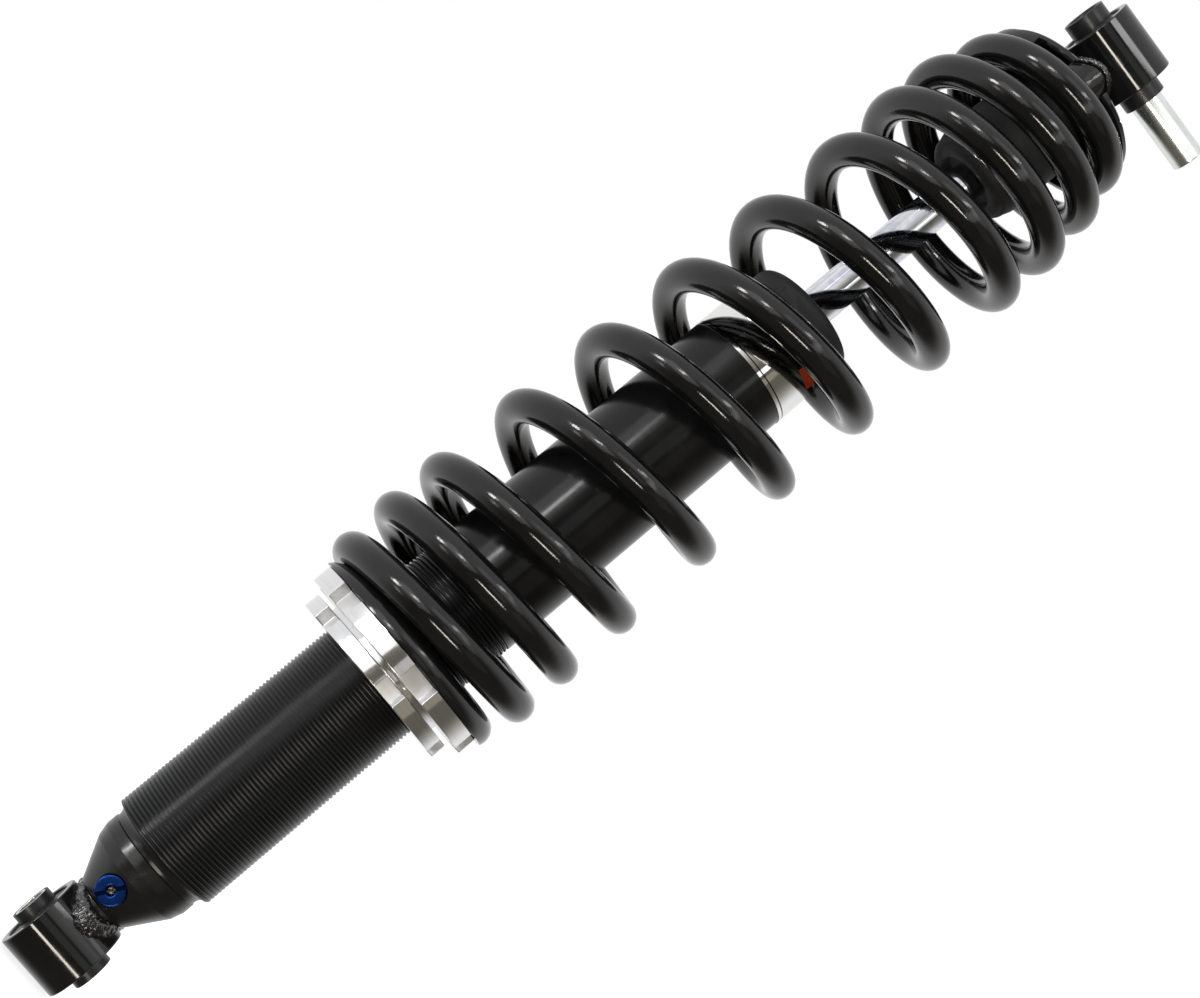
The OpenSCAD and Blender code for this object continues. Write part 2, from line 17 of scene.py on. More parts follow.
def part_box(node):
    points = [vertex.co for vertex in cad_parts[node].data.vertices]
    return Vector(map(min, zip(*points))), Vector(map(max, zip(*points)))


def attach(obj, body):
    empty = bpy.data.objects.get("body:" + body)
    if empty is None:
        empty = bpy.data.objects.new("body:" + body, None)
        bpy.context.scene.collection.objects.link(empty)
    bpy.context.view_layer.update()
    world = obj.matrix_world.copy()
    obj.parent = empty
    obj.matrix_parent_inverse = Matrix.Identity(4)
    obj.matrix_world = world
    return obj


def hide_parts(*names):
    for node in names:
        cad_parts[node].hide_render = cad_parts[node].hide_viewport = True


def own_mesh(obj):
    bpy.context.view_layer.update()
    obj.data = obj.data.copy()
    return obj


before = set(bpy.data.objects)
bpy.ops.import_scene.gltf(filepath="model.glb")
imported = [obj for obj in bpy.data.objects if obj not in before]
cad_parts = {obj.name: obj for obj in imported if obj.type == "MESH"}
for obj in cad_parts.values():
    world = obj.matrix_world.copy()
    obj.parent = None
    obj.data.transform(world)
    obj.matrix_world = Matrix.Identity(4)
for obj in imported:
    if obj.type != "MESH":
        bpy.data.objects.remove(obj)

LOG = logging.getLogger("strut")
MM = 0.001
PER_METRE = 1000.0
EVEN_LIMIT = 16000  # Faces; a finer mesh shades evenly by itself.
NODE_SHARP = 22.0  # Degrees over which a CAD node's edge stays crisp.
HAIR = 0.0005  # Millimetres within which a point lies on a cutting plane.
STEPS = 96  # Faces round a turned piece.
WHITE = (1.0, 1.0, 1.0)

Colour = tuple[float, float, float]
Profile = Sequence[tuple[float, float]]
Socket = bpy.types.NodeSocket
BMesh, BMVert, BMEdge = bmesh.types.BMesh, bmesh.types.BMVert, bmesh.types.BMEdge


class Body(str, Enum):
    """The moving bodies that pieces ride on."""

    BODY = "body"
    ROD = "rod"
    PRELOAD_RING = "preload_ring"
    LOCK_RING = "lock_ring"
    LOWER_SLEEVE = "lower_sleeve"
    UPPER_SLEEVE = "upper_sleeve"


class Way(Enum):
    """The line that a turned piece is turned about."""

    STRUT = (0.0, 0.0, 1.0)
    EYE = (1.0, 0.0, 0.0)
    PORT = (-0.22495, -0.97437, 0.0)


WAY_TURNS = {
    Way.STRUT: (0.0, 0.0, 0.0),
    Way.EYE: (0.0, math.pi / 2, 0.0),
    Way.PORT: (math.pi / 2, 0.0, math.radians(-13)),
}


@dataclass(frozen=True)
class Place:
    """Where a turned surface has its centre line, in millimetres."""

    way: Way = Way.STRUT
    height: float = 0.0

    def tag(self) -> str:
        """A short name for this place."""
        return f"{self.way.name.lower()}_{self.height:.0f}"


@dataclass(frozen=True)
class Extent:
    """The box of a CAD node, in millimetres."""

    low: Vector
    high: Vector

    @classmethod
    def of(cls, node: str) -> "Extent":
        """Reads the box at rest of a CAD node."""
        low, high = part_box(node)
        return cls(low / MM, high / MM)

    def radius(self, axis: int = 1) -> float:
        """Half of the width along an axis."""
        return (self.high[axis] - self.low[axis]) / 2

    def middle(self, axis: int) -> float:
        """The middle along an axis."""
        return (self.high[axis] + self.low[axis]) / 2

    def span(self) -> tuple[float, float, float]:
        """Its low end, its high end and its radius on the strut."""
        return self.low.z, self.high.z, self.radius()


# --- Shader wiring ---------------------------------------------------------------------------


class Wiring:
    """A node tree with short ways to add nodes and join them."""

    def __init__(self, tree: bpy.types.NodeTree) -> None:
        """Empties the tree that is to be filled."""
        self.tree = tree
        tree.nodes.clear()

    def node(
        self, kind: str, inputs: dict[Any, Any] | None = None, **settings: Any
    ) -> bpy.types.Node:
        """Adds a node and fills its sockets.

        Args:
            kind: The node's Blender type, without the ShaderNode prefix.
            inputs: Socket name or number to a constant or to another node's output.
            **settings: Properties of the node.

        Returns:
            The new node.
        """
        full = kind if kind.startswith("Node") else f"ShaderNode{kind}"
        made = self.tree.nodes.new(full)
        for name, value in settings.items():
            setattr(made, name, value)
        for name, value in (inputs or {}).items():
            socket = made.inputs[name]
            if isinstance(value, Socket):
                self.tree.links.new(value, socket)
            else:
                socket.default_value = value
        return made

    def math(self, operation: str, first: Any, second: Any = 0.0) -> Socket:
        """Adds a Math node on two values or sockets, and gives its answer."""
        return self.node("Math", {0: first, 1: second}, operation=operation).outputs[0]

    def weigh(self, first: Any, second: Any, share: float) -> Socket:
        """Adds up two values, the first with a share of the whole and the second with the rest."""
        rest = self.math("MULTIPLY", second, 1.0 - share)
        return self.math("ADD", self.math("MULTIPLY", first, share), rest)

    def between(self, value: Any, low: float, high: float) -> Socket:
        """Gives 1 where a value lies between two limits, and 0 elsewhere."""
        above = self.math("GREATER_THAN", value, low)
        return self.math("MULTIPLY", above, self.math("LESS_THAN", value, high))

    def remap(
        self, value: Any, low: float, high: float, to_low: float = 0.0, to_high: float = 1.0
    ) -> Socket:
        """Maps a value from one range to another, with soft ends.

        Args:
            value: The socket to map.
            low: Start of the range it has.
            high: End of the range it has.
            to_low: What the start becomes.
            to_high: What the end becomes.

        Returns:
            The mapped socket.
        """
        ends = {"From Min": low, "From Max": high, "To Min": to_low, "To Max": to_high}
        made = self.node("MapRange", {"Value": value, **ends}, interpolation_type="SMOOTHSTEP")
        return made.outputs["Result"]

    def blend(self, share: Any, first: Any, second: Any) -> Socket:
        """Mixes two colours or colour sockets.

        Args:
            share: How much of the second colour shows.
            first: A colour or a colour socket.
            second: A colour or a colour socket.

        Returns:
            The mixed colour's socket.
        """
        first, second = ((*c, 1.0) if isinstance(c, tuple) else c for c in (first, second))
        made = self.node("Mix", {0: share, 6: first, 7: second}, data_type="RGBA")
        return made.outputs[2]

    def noise(
        self, vector: Any, scale: Any, detail: float, rough: float, twist: float = 0.0
    ) -> Socket:
        """Adds a three-way noise.

        Args:
            vector: The coordinates.
            scale: Waves per metre.
            detail: Number of finer layers.
            rough: Strength of the finer layers.
            twist: How far the noise is drawn out of shape.

        Returns:
            The noise value's socket.
        """
        layers = {"Scale": scale, "Detail": detail, "Roughness": rough, "Distortion": twist}
        return self.node("TexNoise", {"Vector": vector, **layers}).outputs[0]


class GroupWiring(Wiring):
    """The inside of a shared effect, which takes a position and one measure."""

    def __init__(
        self, tree: bpy.types.NodeTree, measure: str, default: float, outputs: Sequence[str]
    ) -> None:
        """Args:
            tree: The group.
            measure: Name of the measure, which is in millimetres.
            default: Its value where a material gives none.
            outputs: Names of the value outputs.
        """
        super().__init__(tree)
        sockets = [("Position", "INPUT", "Vector"), (measure, "INPUT", "Float")]
        sockets += [(name, "OUTPUT", "Float") for name in outputs]
        for name, side, kind in sockets:
            made = tree.interface.new_socket(
                name, in_out=side, socket_type=f"NodeSocket{kind}"
            )
            if name == measure:
                made.default_value = default
        start = self.node("NodeGroupInput")
        self.position, self.measure = start.outputs["Position"], start.outputs[measure]
        self._end = self.node("NodeGroupOutput")

    def waves(self) -> Socket:
        """Waves per metre that are as long as the measure."""
        return self.math("DIVIDE", PER_METRE, self.measure)

    def give(self, name: str, value: Socket) -> None:
        """Joins a value to one of the group's outputs."""
        self.tree.links.new(value, self._end.inputs[name])


class Effect(Enum):
    """Surface effects that several finishes share."""

    PEEL = "orange_peel"
    TURNING = "turning_lines"
    STREAKS = "streaks"
    HANDLING = "handling"


class EffectShelf:
    """Builds each shared effect once, as a shader node group."""

    def __init__(self) -> None:
        """Starts with no group made."""
        self._made: dict[Effect, bpy.types.NodeTree] = {}

    def group(self, effect: Effect) -> bpy.types.NodeTree:
        """Gives an effect's group, and builds it on first use."""
        if effect not in self._made:
            recipes = {
                Effect.PEEL: self._peel, Effect.TURNING: self._turning,
                Effect.STREAKS: self._streaks, Effect.HANDLING: self._handling,
            }
            tree = bpy.data.node_groups.new(effect.value, "ShaderNodeTree")
            recipes[effect](tree)
            self._made[effect] = tree
        return self._made[effect]

    @staticmethod
    def _peel(tree: bpy.types.NodeTree) -> None:
        """Baked paint: a wavy skin with fine grain in it."""
        w = GroupWiring(tree, "Grain", 1.0, ("Height", "Mottle"))
        scale = w.waves()
        wave = w.noise(w.position, scale, 1.0, 0.4)
        fine = w.noise(w.position, w.math("MULTIPLY", scale, 4.3), 2.0, 0.6)
        cloud = w.noise(w.position, w.math("MULTIPLY", scale, 0.06), 3.0, 0.6)
        w.give("Height", w.weigh(wave, fine, 0.75))
        w.give("Mottle", w.remap(w.weigh(cloud, fine, 0.7), 0.3, 0.7))

    @staticmethod
    def _turning(tree: bpy.types.NodeTree) -> None:
        """Rings left by a lathe tool, on round and on flat faces alike."""
        w = GroupWiring(tree, "Pitch", 0.2, ("Height", "Lines"))
        x, y, z = w.node("SeparateXYZ", {0: w.position}).outputs
        squares = w.math("ADD", w.math("MULTIPLY", x, x), w.math("MULTIPLY", y, y))
        reach = w.math("ADD", w.math("SQRT", squares), z)
        along = w.math("DIVIDE", w.math("MULTIPLY", reach, PER_METRE), w.measure)
        cut, wide = (
            w.node("TexNoise", {"W": along, **layers}, noise_dimensions="1D").outputs[0]
            for layers in (
                {"Scale": 1.0, "Detail": 3.0, "Roughness": 0.7},
                {"Scale": 0.13, "Detail": 1.0},
            )
        )
        w.give("Height", cut)
        w.give("Lines", w.remap(w.weigh(cut, wide, 0.6), 0.3, 0.7))

    @staticmethod
    def _streaks(tree: bpy.types.NodeTree) -> None:
        """Long streaks that run the way the piece was drawn or plated; on the chrome rod their
        darker tone is a painted reflection of the coils.
        """
        w = GroupWiring(tree, "Width", 0.6, ("Streaks",))
        drawn = w.node("VectorMath", {0: w.position, 1: (1.0, 1.0, 0.05)}, operation="MULTIPLY")
        w.give("Streaks", w.remap(w.noise(drawn.outputs[0], w.waves(), 3.0, 0.65), 0.32, 0.68))

    @staticmethod
    def _handling(tree: bpy.types.NodeTree) -> None:
        """Faint wiping marks and smears from handling."""
        w = GroupWiring(tree, "Size", 12.0, ("Smear",))
        w.give("Smear", w.remap(w.noise(w.position, w.waves(), 4.0, 0.6, 1.2), 0.42, 0.66))


SHELF = EffectShelf()


class Dressing(Wiring):
    """One material in the making, with its shader and its coordinates."""

    def __init__(self, name: str, place: Place) -> None:
        """Starts a material.

        Args:
            name: Name of the material.
            place: Centre line of the surface it goes on.
        """
        self.material = bpy.data.materials.new(name)
        self.material.use_nodes = True
        super().__init__(self.material.node_tree)
        output = self.node("OutputMaterial")
        self.shader = self.node("BsdfPrincipled")
        self.tree.links.new(self.shader.outputs[0], output.inputs["Surface"])
        centre = {
            "Vector": self.node("TexCoord").outputs["Object"],
            "Location": (0.0, 0.0, place.height * MM),
            "Rotation": WAY_TURNS[place.way],
        }
        self.position = self.node("Mapping", centre, vector_type="TEXTURE").outputs[0]

    def effect(self, effect: Effect, **inputs: float) -> Any:
        """Places a shared effect in the material.

        Args:
            effect: Which effect.
            **inputs: Values for the group's sockets.

        Returns:
            The outputs of the group node.
        """
        made = self.tree.nodes.new("ShaderNodeGroup")
        made.node_tree = SHELF.group(effect)
        self.tree.links.new(self.position, made.inputs["Position"])
        for name, value in inputs.items():
            made.inputs[name].default_value = value
        return made.outputs

    def fix(self, **sockets: float) -> None:
        """Sets constants on the shader's own sockets, underscores standing for spaces."""
        for name, value in sockets.items():
            self.shader.inputs[name.replace("_", " ")].default_value = value

    def feed(self, name: str, value: Socket) -> None:
        """Joins a changing value to one of the shader's sockets."""
        self.tree.links.new(value, self.shader.inputs[name])

    def bump(self, height: Socket, strength: float, depth: float) -> None:
        """Raises the surface by a height.

        Args:
            height: Height socket, from 0 to 1.
            strength: How much of it shows.
            depth: Full height in millimetres.
        """
        made = self.node("Bump", {"Height": height, "Strength": strength, "Distance": depth * MM})
        self.feed("Normal", made.outputs[0])


# --- Finishes --------------------------------------------------------------------------------


@dataclass(frozen=True)
class Finish:
    """What a piece is dressed in, with the name of its material slot."""

    slot: str
    colour: Colour

    def wire(self, dressing: Dressing) -> None:
        """Wires the finish into a material."""
        raise NotImplementedError


@dataclass(frozen=True)
class TwoTone(Finish):
    """A finish that drifts between two tones, and from smooth to worn."""

    shade: Colour
    roughness: float
    drift: float

    def tone(self, dressing: Dressing, share: Socket, worn: Socket) -> None:
        """Wires the colour and the roughness.

        Args:
            dressing: The material.
            share: How much of the second tone shows.
            worn: How worn the surface is, from 0 to 1.
        """
        dressing.feed("Base Color", dressing.blend(share, self.colour, self.shade))
        rough = dressing.remap(worn, 0.0, 1.0, self.roughness, self.roughness + self.drift)
        dressing.feed("Roughness", rough)


@dataclass(frozen=True)
class Paint(TwoTone):
    """A dark baked or moulded finish with a fine skin."""

    specular: float = 0.5
    coat: float = 0.0
    coat_roughness: float = 0.1
    grain: float = 1.0
    depth: float = 0.03
    strength: float = 0.4
    smear: float = 14.0

    def wire(self, dressing: Dressing) -> None:
        """Wires the finish into a material."""
        peel = dressing.effect(Effect.PEEL, Grain=self.grain)
        smear = dressing.effect(Effect.HANDLING, Size=self.smear)
        self.tone(dressing, peel["Mottle"], smear["Smear"])
        dressing.fix(
            Specular_IOR_Level=self.specular, Coat_Weight=self.coat,
            Coat_Roughness=self.coat_roughness,
        )
        dressing.bump(peel["Height"], self.strength, self.depth)


@dataclass(frozen=True)
class TurnedMetal(TwoTone):
    """Bare or polished metal that shows the lathe's lines."""

    pitch: float = 0.2
    depth: float = 0.01
    strength: float = 0.15
    smear: float = 9.0

    def wire(self, dressing: Dressing) -> None:
        """Wires the finish into a material."""
        turning = dressing.effect(Effect.TURNING, Pitch=self.pitch)
        smear = dressing.effect(Effect.HANDLING, Size=self.smear)
        worn = dressing.weigh(turning["Lines"], smear["Smear"], 0.5)
        self.tone(dressing, dressing.math("MULTIPLY", turning["Lines"], 0.7), worn)
        dressing.fix(Metallic=1.0)
        dressing.bump(turning["Height"], self.strength, self.depth)


@dataclass(frozen=True)
class StreakedMetal(TwoTone):
    """Plated metal with streaks of a lighter and a darker tone; on the chrome rod the darker navy
    tone is a painted reflection of the coils.
    """

    width: float = 0.6
    strength: float = 0.2
    depth: float = 0.02
    smear: float = 5.0

    def wire(self, dressing: Dressing) -> None:
        """Wires the finish into a material."""
        streaks = dressing.effect(Effect.STREAKS, Width=self.width)
        smear = dressing.effect(Effect.HANDLING, Size=self.smear)
        mixed = dressing.weigh(streaks["Streaks"], smear["Smear"], 0.6)
        self.tone(dressing, mixed, mixed)
        dressing.fix(Metallic=1.0)
        dressing.bump(streaks["Streaks"], self.strength, self.depth)


@dataclass(frozen=True)
class Foil(Finish):
    """A silver foil label with a rule along its lower edge and one coloured field, and no words."""

    rule: Colour
    field_colour: Colour
    low: float
    high: float
    rule_edges: tuple[float, float] = (1.3, 1.75)
    field_turns: tuple[float, float] = (-62.0, -34.0)
    field_width: float = 3.7
    sheen_loss: float = 0.9
    mottle: float = 0.9
    grain: float = 0.8
    smear: float = 6.0
    roughness: tuple[float, float] = (0.05, 0.1)
    strength: float = 0.1
    depth: float = 0.01

    def wire(self, dressing: Dressing) -> None:
        """Wires the finish into a material."""
        x, y, z = dressing.node("SeparateXYZ", {0: dressing.position}).outputs
        height = dressing.math("MULTIPLY", z, PER_METRE)
        smear = dressing.effect(Effect.HANDLING, Size=self.smear)
        peel = dressing.effect(Effect.PEEL, Grain=self.grain)
        duller = tuple(self.mottle * c for c in self.colour)
        silver = dressing.blend(peel["Mottle"], self.colour, duller)
        printed = dressing.between(height, *(self.low + edge for edge in self.rule_edges))
        ruled = dressing.blend(printed, silver, self.rule)
        turns = (math.radians(turn) for turn in self.field_turns)
        beside = dressing.between(dressing.math("ARCTAN2", y, x), *turns)
        above = dressing.math("GREATER_THAN", height, self.high - self.field_width)
        patch = dressing.math("MULTIPLY", beside, above)
        dressing.feed("Base Color", dressing.blend(patch, ruled, self.field_colour))
        rough = dressing.remap(smear["Smear"], 0.0, 1.0, *self.roughness)
        dressing.feed("Roughness", rough)
        dull = dressing.math("MULTIPLY", patch, self.sheen_loss)
        dressing.feed("Metallic", dressing.math("SUBTRACT", 1.0, dull))
        dressing.bump(peel["Height"], self.strength, self.depth)


BLACK = Paint(
    "black_coating", (0.0035, 0.0035, 0.004), (0.006, 0.006, 0.0065), 0.08, 0.04,
    grain=0.9, depth=0.008, strength=0.3,
)
WELD_BLACK = Paint(
    "black_coating", (0.003, 0.003, 0.003), (0.006, 0.006, 0.006), 0.09, 0.05,
    coat=1.0, coat_roughness=0.05, grain=1.2, depth=0.35, strength=0.9,
)
THREAD_BLACK = Paint(
    "black_coating", (0.0035, 0.0035, 0.004), (0.006, 0.006, 0.0065), 0.2, 0.05,
    specular=0.4, grain=0.6, depth=0.004,
)
TUBE_BLACK = Paint(
    "black_coating", (0.004, 0.004, 0.0045), (0.007, 0.007, 0.0075), 0.15, 0.04,
    specular=0.33, grain=0.6, depth=0.004, strength=0.15,
)
CONE_BLACK = Paint(
    "black_coating", (0.004, 0.004, 0.0045), (0.008, 0.008, 0.0085), 0.2, 0.08,
    grain=0.9, depth=0.01, strength=0.3,
)
BOSS_BLACK = Paint(
    "black_coating", (0.003, 0.003, 0.003), (0.006, 0.006, 0.006), 0.06, 0.03,
    grain=5.0, depth=0.6, strength=0.6,
)
SPRING_BLACK = Paint(
    "spring_coating", (0.0035, 0.0035, 0.0035), (0.007, 0.007, 0.007), 0.085, 0.04,
    grain=0.75, depth=0.04, strength=0.6,
)
BUSHING = Paint(
    "bushing_plastic", (0.012, 0.012, 0.013), (0.018, 0.018, 0.019), 0.3, 0.12,
    specular=0.35, grain=0.6,
)
BUMP_RUBBER = Paint(
    "bump_rubber", (0.013, 0.013, 0.0135), (0.018, 0.018, 0.019), 0.55, 0.12,
    specular=0.3, grain=0.9,
)
SEAL_RUBBER = Paint(
    "seal_rubber", (0.012, 0.012, 0.012), (0.02, 0.02, 0.02), 0.5, 0.15, specular=0.4
)
PTFE = Paint("ptfe", (0.06, 0.045, 0.03), (0.09, 0.07, 0.05), 0.45, 0.15)
ALUMINIUM = TurnedMetal(
    "polished_aluminium", (0.86, 0.86, 0.87), (0.74, 0.74, 0.75), 0.07, 0.09, pitch=0.22
)
MILLED = TurnedMetal(
    "polished_aluminium", (0.84, 0.84, 0.85), (0.74, 0.74, 0.75), 0.38, 0.16, pitch=0.3
)
# The darker navy tone paints the coils' reflection into the chrome rod as lengthwise streaks.
CHROME_PAINTED_REFLECTION = StreakedMetal(
    "rod_chrome", (0.85, 0.86, 0.88), (0.5, 0.54, 0.63), 0.04, 0.06, width=1.6, strength=0.03
)
ZINC = StreakedMetal(
    "zinc_steel", (0.86, 0.89, 0.87), (0.7, 0.73, 0.71), 0.2, 0.05, width=0.9, strength=0.04
)
SPRING_STEEL = TurnedMetal("spring_steel", (0.5, 0.5, 0.51), (0.36, 0.36, 0.37), 0.25, 0.2)
BRONZE = TurnedMetal("bronze", (0.5, 0.36, 0.16), (0.38, 0.26, 0.11), 0.3, 0.2)
BLUE = TurnedMetal(
    "blue_anodised", (0.009, 0.038, 0.18), (0.006, 0.026, 0.13), 0.2, 0.1, pitch=0.3
)
# A near-black blue that paints the shade inside the fill screw's slot and hole.
BLUE_PAINTED_SHADE = TurnedMetal(
    "blue_anodised", (0.002, 0.007, 0.03), (0.001, 0.004, 0.018), 0.4, 0.1, pitch=0.3
)


def even_shading(mesh: bpy.types.Mesh, sharp: float) -> None:
    """Weighs corner normals by area, so that a large face beside a rounding stays even.

    Args:
        mesh: The mesh, already smooth.
        sharp: Angle in degrees over which faces don't blend.
    """
    limit = math.cos(math.radians(sharp))
    pushes = [(face.normal.copy(), face.normal * face.area) for face in mesh.polygons]
    touching: list[list[int]] = [[] for _ in mesh.vertices]
    for face in mesh.polygons:
        for number in face.vertices:
            touching[number].append(face.index)
    normals = []
    for face in mesh.polygons:
        own = pushes[face.index][0]
        for number in face.vertices:
            near = (pushes[i] for i in touching[number])
            total = sum((push for normal, push in near if normal.dot(own) > limit), Vector())
            normals.append(total.normalized() if total.length > 0.0 else own)
    mesh.normals_split_custom_set(normals)


class Wardrobe:
    """Makes each material once and puts it on pieces and CAD nodes."""

    def __init__(self) -> None:
        """Starts with no material made."""
        self._made: dict[tuple[Finish, Place], bpy.types.Material] = {}

    def material(self, finish: Finish, place: Place) -> bpy.types.Material:
        """Gives the material of a finish round a centre line, and makes it on first use."""
        key = (finish, place)
        if key not in self._made:
            dressing = Dressing(f"{finish.slot}.{place.tag()}", place)
            finish.wire(dressing)
            self._made[key] = dressing.material
        return self._made[key]

    def dress_node(self, node: str, finish: Finish, place: Place = Place()) -> None:
        """Puts a finish on a carried-over CAD node."""
        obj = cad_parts[node]
        shade(obj.data, NODE_SHARP)
        made = self.material(finish, place)
        if obj.material_slots:
            for part in obj.material_slots:
                part.material = made
        else:
            obj.data.materials.append(made)
        LOG.info("dressed node %s in %s", node, finish.slot)


WARDROBE = Wardrobe()


# --- Shapes ----------------------------------------------------------------------------------


def shade(mesh: bpy.types.Mesh, sharp: float) -> None:
    """Shades a mesh smooth, with the edges over an angle crisp."""
    mesh.shade_smooth()
    mesh.set_sharp_from_angle(angle=math.radians(sharp))
    if len(mesh.polygons) < EVEN_LIMIT:
        even_shading(mesh, sharp)


def around(radius: float, turn: float, height: float) -> Vector:
    """The point at a distance, an angle and a height on the strut's line."""
    return Vector((radius * math.cos(turn), radius * math.sin(turn), height))


def upward(height: float) -> Vector:
    """The point at a height on the strut's line, or the step up by that height."""
    return Vector((0.0, 0.0, height))


def columns(x: Vector, y: Vector, z: Vector) -> Matrix:
    """The matrix that has these three vectors as its axes."""
    return Matrix((x, y, z)).transposed().to_4x4()


def bends(first: int, last: int, step: int) -> list[float]:
    """Angles in radians from one number of degrees up to another."""
    return [math.radians(degrees) for degrees in range(first, last + 1, step)]


def washer(inner: float, outer: float, low: float, high: float) -> Profile:
    """The outline of a plain ring."""
    return [(inner, low), (outer, low), (outer, high), (inner, high)]


def picked(geom: Iterable[Any], kind: type) -> list[Any]:
    """Picks the parts of one kind."""
    return [part for part in geom if isinstance(part, kind)]


def all_of(bm: BMesh) -> list[Any]:
    """Every point, edge and face of a mesh."""
    return [*bm.verts, *bm.edges, *bm.faces]


def loop_edges(verts: Iterable[BMVert], edges: Iterable[BMEdge]) -> list[BMEdge]:
    """Picks the edges that have both ends among some points."""
    chosen = set(verts)
    return [e for e in edges if e.verts[0] in chosen and e.verts[1] in chosen]


def extruded(bm: BMesh, edges: Sequence[BMEdge]) -> tuple[list[BMVert], list[BMEdge]]:
    """Extrudes a row of edges.

    Args:
        bm: The mesh.
        edges: The row.

    Returns:
        The new points, still in their old place, and the edges that join them.
    """
    grown = bmesh.ops.extrude_edge_only(bm, edges=edges)["geom"]
    verts = picked(grown, BMVert)
    return verts, loop_edges(verts, picked(grown, BMEdge))


def baked(bm: BMesh, name: str) -> bpy.types.Mesh:
    """Makes a plain mesh of an edited one, which is used up."""
    mesh = bpy.data.meshes.new(name)
    bm.to_mesh(mesh)
    bm.free()
    return mesh


def placed(name: str, data: Any) -> bpy.types.Object:
    """Puts a new object in the scene, at the origin."""
    obj = bpy.data.objects.new(name, data)
    bpy.context.scene.collection.objects.link(obj)
    return obj


def soften(bm: BMesh, width: float, segments: int = 2, angle: float = 30.0) -> None:
    """Rounds every edge that is sharper than an angle.

    Args:
        bm: The mesh, in millimetres.
        width: Width of the rounding.
        segments: Faces across it.
        angle: Least angle of an edge that is rounded, in degrees.
    """
    limit = math.radians(angle)
    sharp = [e for e in bm.edges if len(e.link_faces) == 2 and e.calc_face_angle(0.0) > limit]
    bmesh.ops.bevel(
        bm, geom=sharp, offset=width, offset_type="OFFSET", segments=segments, profile=0.5,
        affect="EDGES", clamp_overlap=True, material=-1,
    )


def turned(
    profile: Profile, place: Place = Place(), steps: int = STEPS, rounding: float = 0.0,
    segments: int = 2,
) -> BMesh:
    """Turns a closed outline about a centre line.

    Args:
        profile: Points as distance from the line and distance along it, in millimetres.
        place: The centre line.
        steps: Faces round the piece.
        rounding: Width of the rounding on its edges.
        segments: Faces across the rounding.

    Returns:
        The solid.
    """
    bm = bmesh.new()
    line = Vector(place.way.value)
    centre = upward(place.height)
    outward = Vector((1.0, 0.0, 0.0) if place.way is Way.STRUT else (0.0, 0.0, 1.0))
    verts = [bm.verts.new(centre + line * d + outward * r) for r, d in profile]
    edges = [bm.edges.new((a, b)) for a, b in zip(verts, verts[1:] + verts[:1])]
    bmesh.ops.spin(
        bm, geom=[*verts, *edges], cent=centre, axis=line, dvec=upward(0.0),
        angle=math.tau, steps=steps, use_merge=True, use_duplicate=False,
    )
    bmesh.ops.remove_doubles(bm, verts=bm.verts, dist=0.002)
    bmesh.ops.dissolve_degenerate(bm, edges=bm.edges, dist=0.001)
    bmesh.ops.recalc_face_normals(bm, faces=bm.faces)
    if rounding > 0.0:
        soften(bm, rounding, segments)
    return bm


def swept(frames: Sequence[Matrix], sides: int, closed: bool = False) -> BMesh:
    """Draws a round section along a row of frames.

    Args:
        frames: One matrix for each station, its x-y plane holding the section at its full size.
        sides: Faces round the section.
        closed: Whether the last station joins the first.

    Returns:
        The tube, capped where it isn't closed.
    """
    bm = bmesh.new()
    made = bmesh.ops.create_circle(
        bm, cap_ends=False, radius=1.0, segments=sides, matrix=frames[0]
    )
    first = edges = loop_edges(made["verts"], bm.edges)
    for before, after in zip(frames, frames[1:]):
        verts, edges = extruded(bm, edges)
        bmesh.ops.transform(bm, matrix=after @ before.inverted(), verts=verts)
    if closed:
        bmesh.ops.bridge_loops(bm, edges=[*first, *edges])
    else:
        for ring in (first, edges):
            bmesh.ops.edgeloop_fill(bm, edges=ring)
    bmesh.ops.recalc_face_normals(bm, faces=bm.faces)
    return bm


def cut_back(bm: BMesh, point: Vector, towards: Vector) -> None:
    """Cuts a mesh off at a plane and closes the cut.

    Args:
        bm: The mesh, in millimetres.
        point: A point of the plane.
        towards: The side that stays.
    """
    done = bmesh.ops.bisect_plane(
        bm, geom=all_of(bm), dist=HAIR, plane_co=point, plane_no=towards, clear_inner=True
    )
    rim = [edge for edge in picked(done["geom_cut"], BMEdge) if edge.is_valid]
    bmesh.ops.holes_fill(bm, edges=rim, sides=0)


def frame_at(point: Vector, tangent: Vector, outward: Vector, size: float = 1.0) -> Matrix:
    """Makes the frame of a swept tube's station.

    Args:
        point: Centre of the section.
        tangent: Direction of the tube.
        outward: A direction that the section's x follows.
        size: Radius of the section.

    Returns:
        The frame.
    """
    z = tangent.normalized()
    x = (outward - z * outward.dot(z)).normalized()
    return Matrix.Translation(point) @ columns(x * size, z.cross(x) * size, z * size)


def finished(
    bm: BMesh, name: str, body: Body, finish: Finish, place: Place = Place(),
    stands_for: Sequence[str] = (), sharp: float = 34.0, cut_finish: Finish | None = None,
) -> bpy.types.Object:
    """Makes a finished piece from a mesh in millimetres.

    Args:
        bm: The mesh; it is used up.
        name: Name of the piece.
        body: The body that it rides on.
        finish: Its finish.
        place: Centre line of its finish.
        stands_for: The CAD nodes that it replaces.
        sharp: Angle in degrees over which an edge stays crisp.
        cut_finish: Finish of the faces whose material number is 1.

    Returns:
        The object.
    """
    bmesh.ops.scale(bm, vec=Vector((MM, MM, MM)), verts=bm.verts)
    mesh = baked(bm, name)
    shade(mesh, sharp)
    obj = placed(name, mesh)
    for worn in filter(None, (finish, cut_finish)):
        mesh.materials.append(WARDROBE.material(worn, place))
    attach(obj, body.value)
    if stands_for:
        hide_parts(*stands_for)
    LOG.info("built %s on %s: %d faces", name, body.value, len(mesh.polygons))
    return obj


# --- Sub-assemblies --------------------------------------------------------------------------


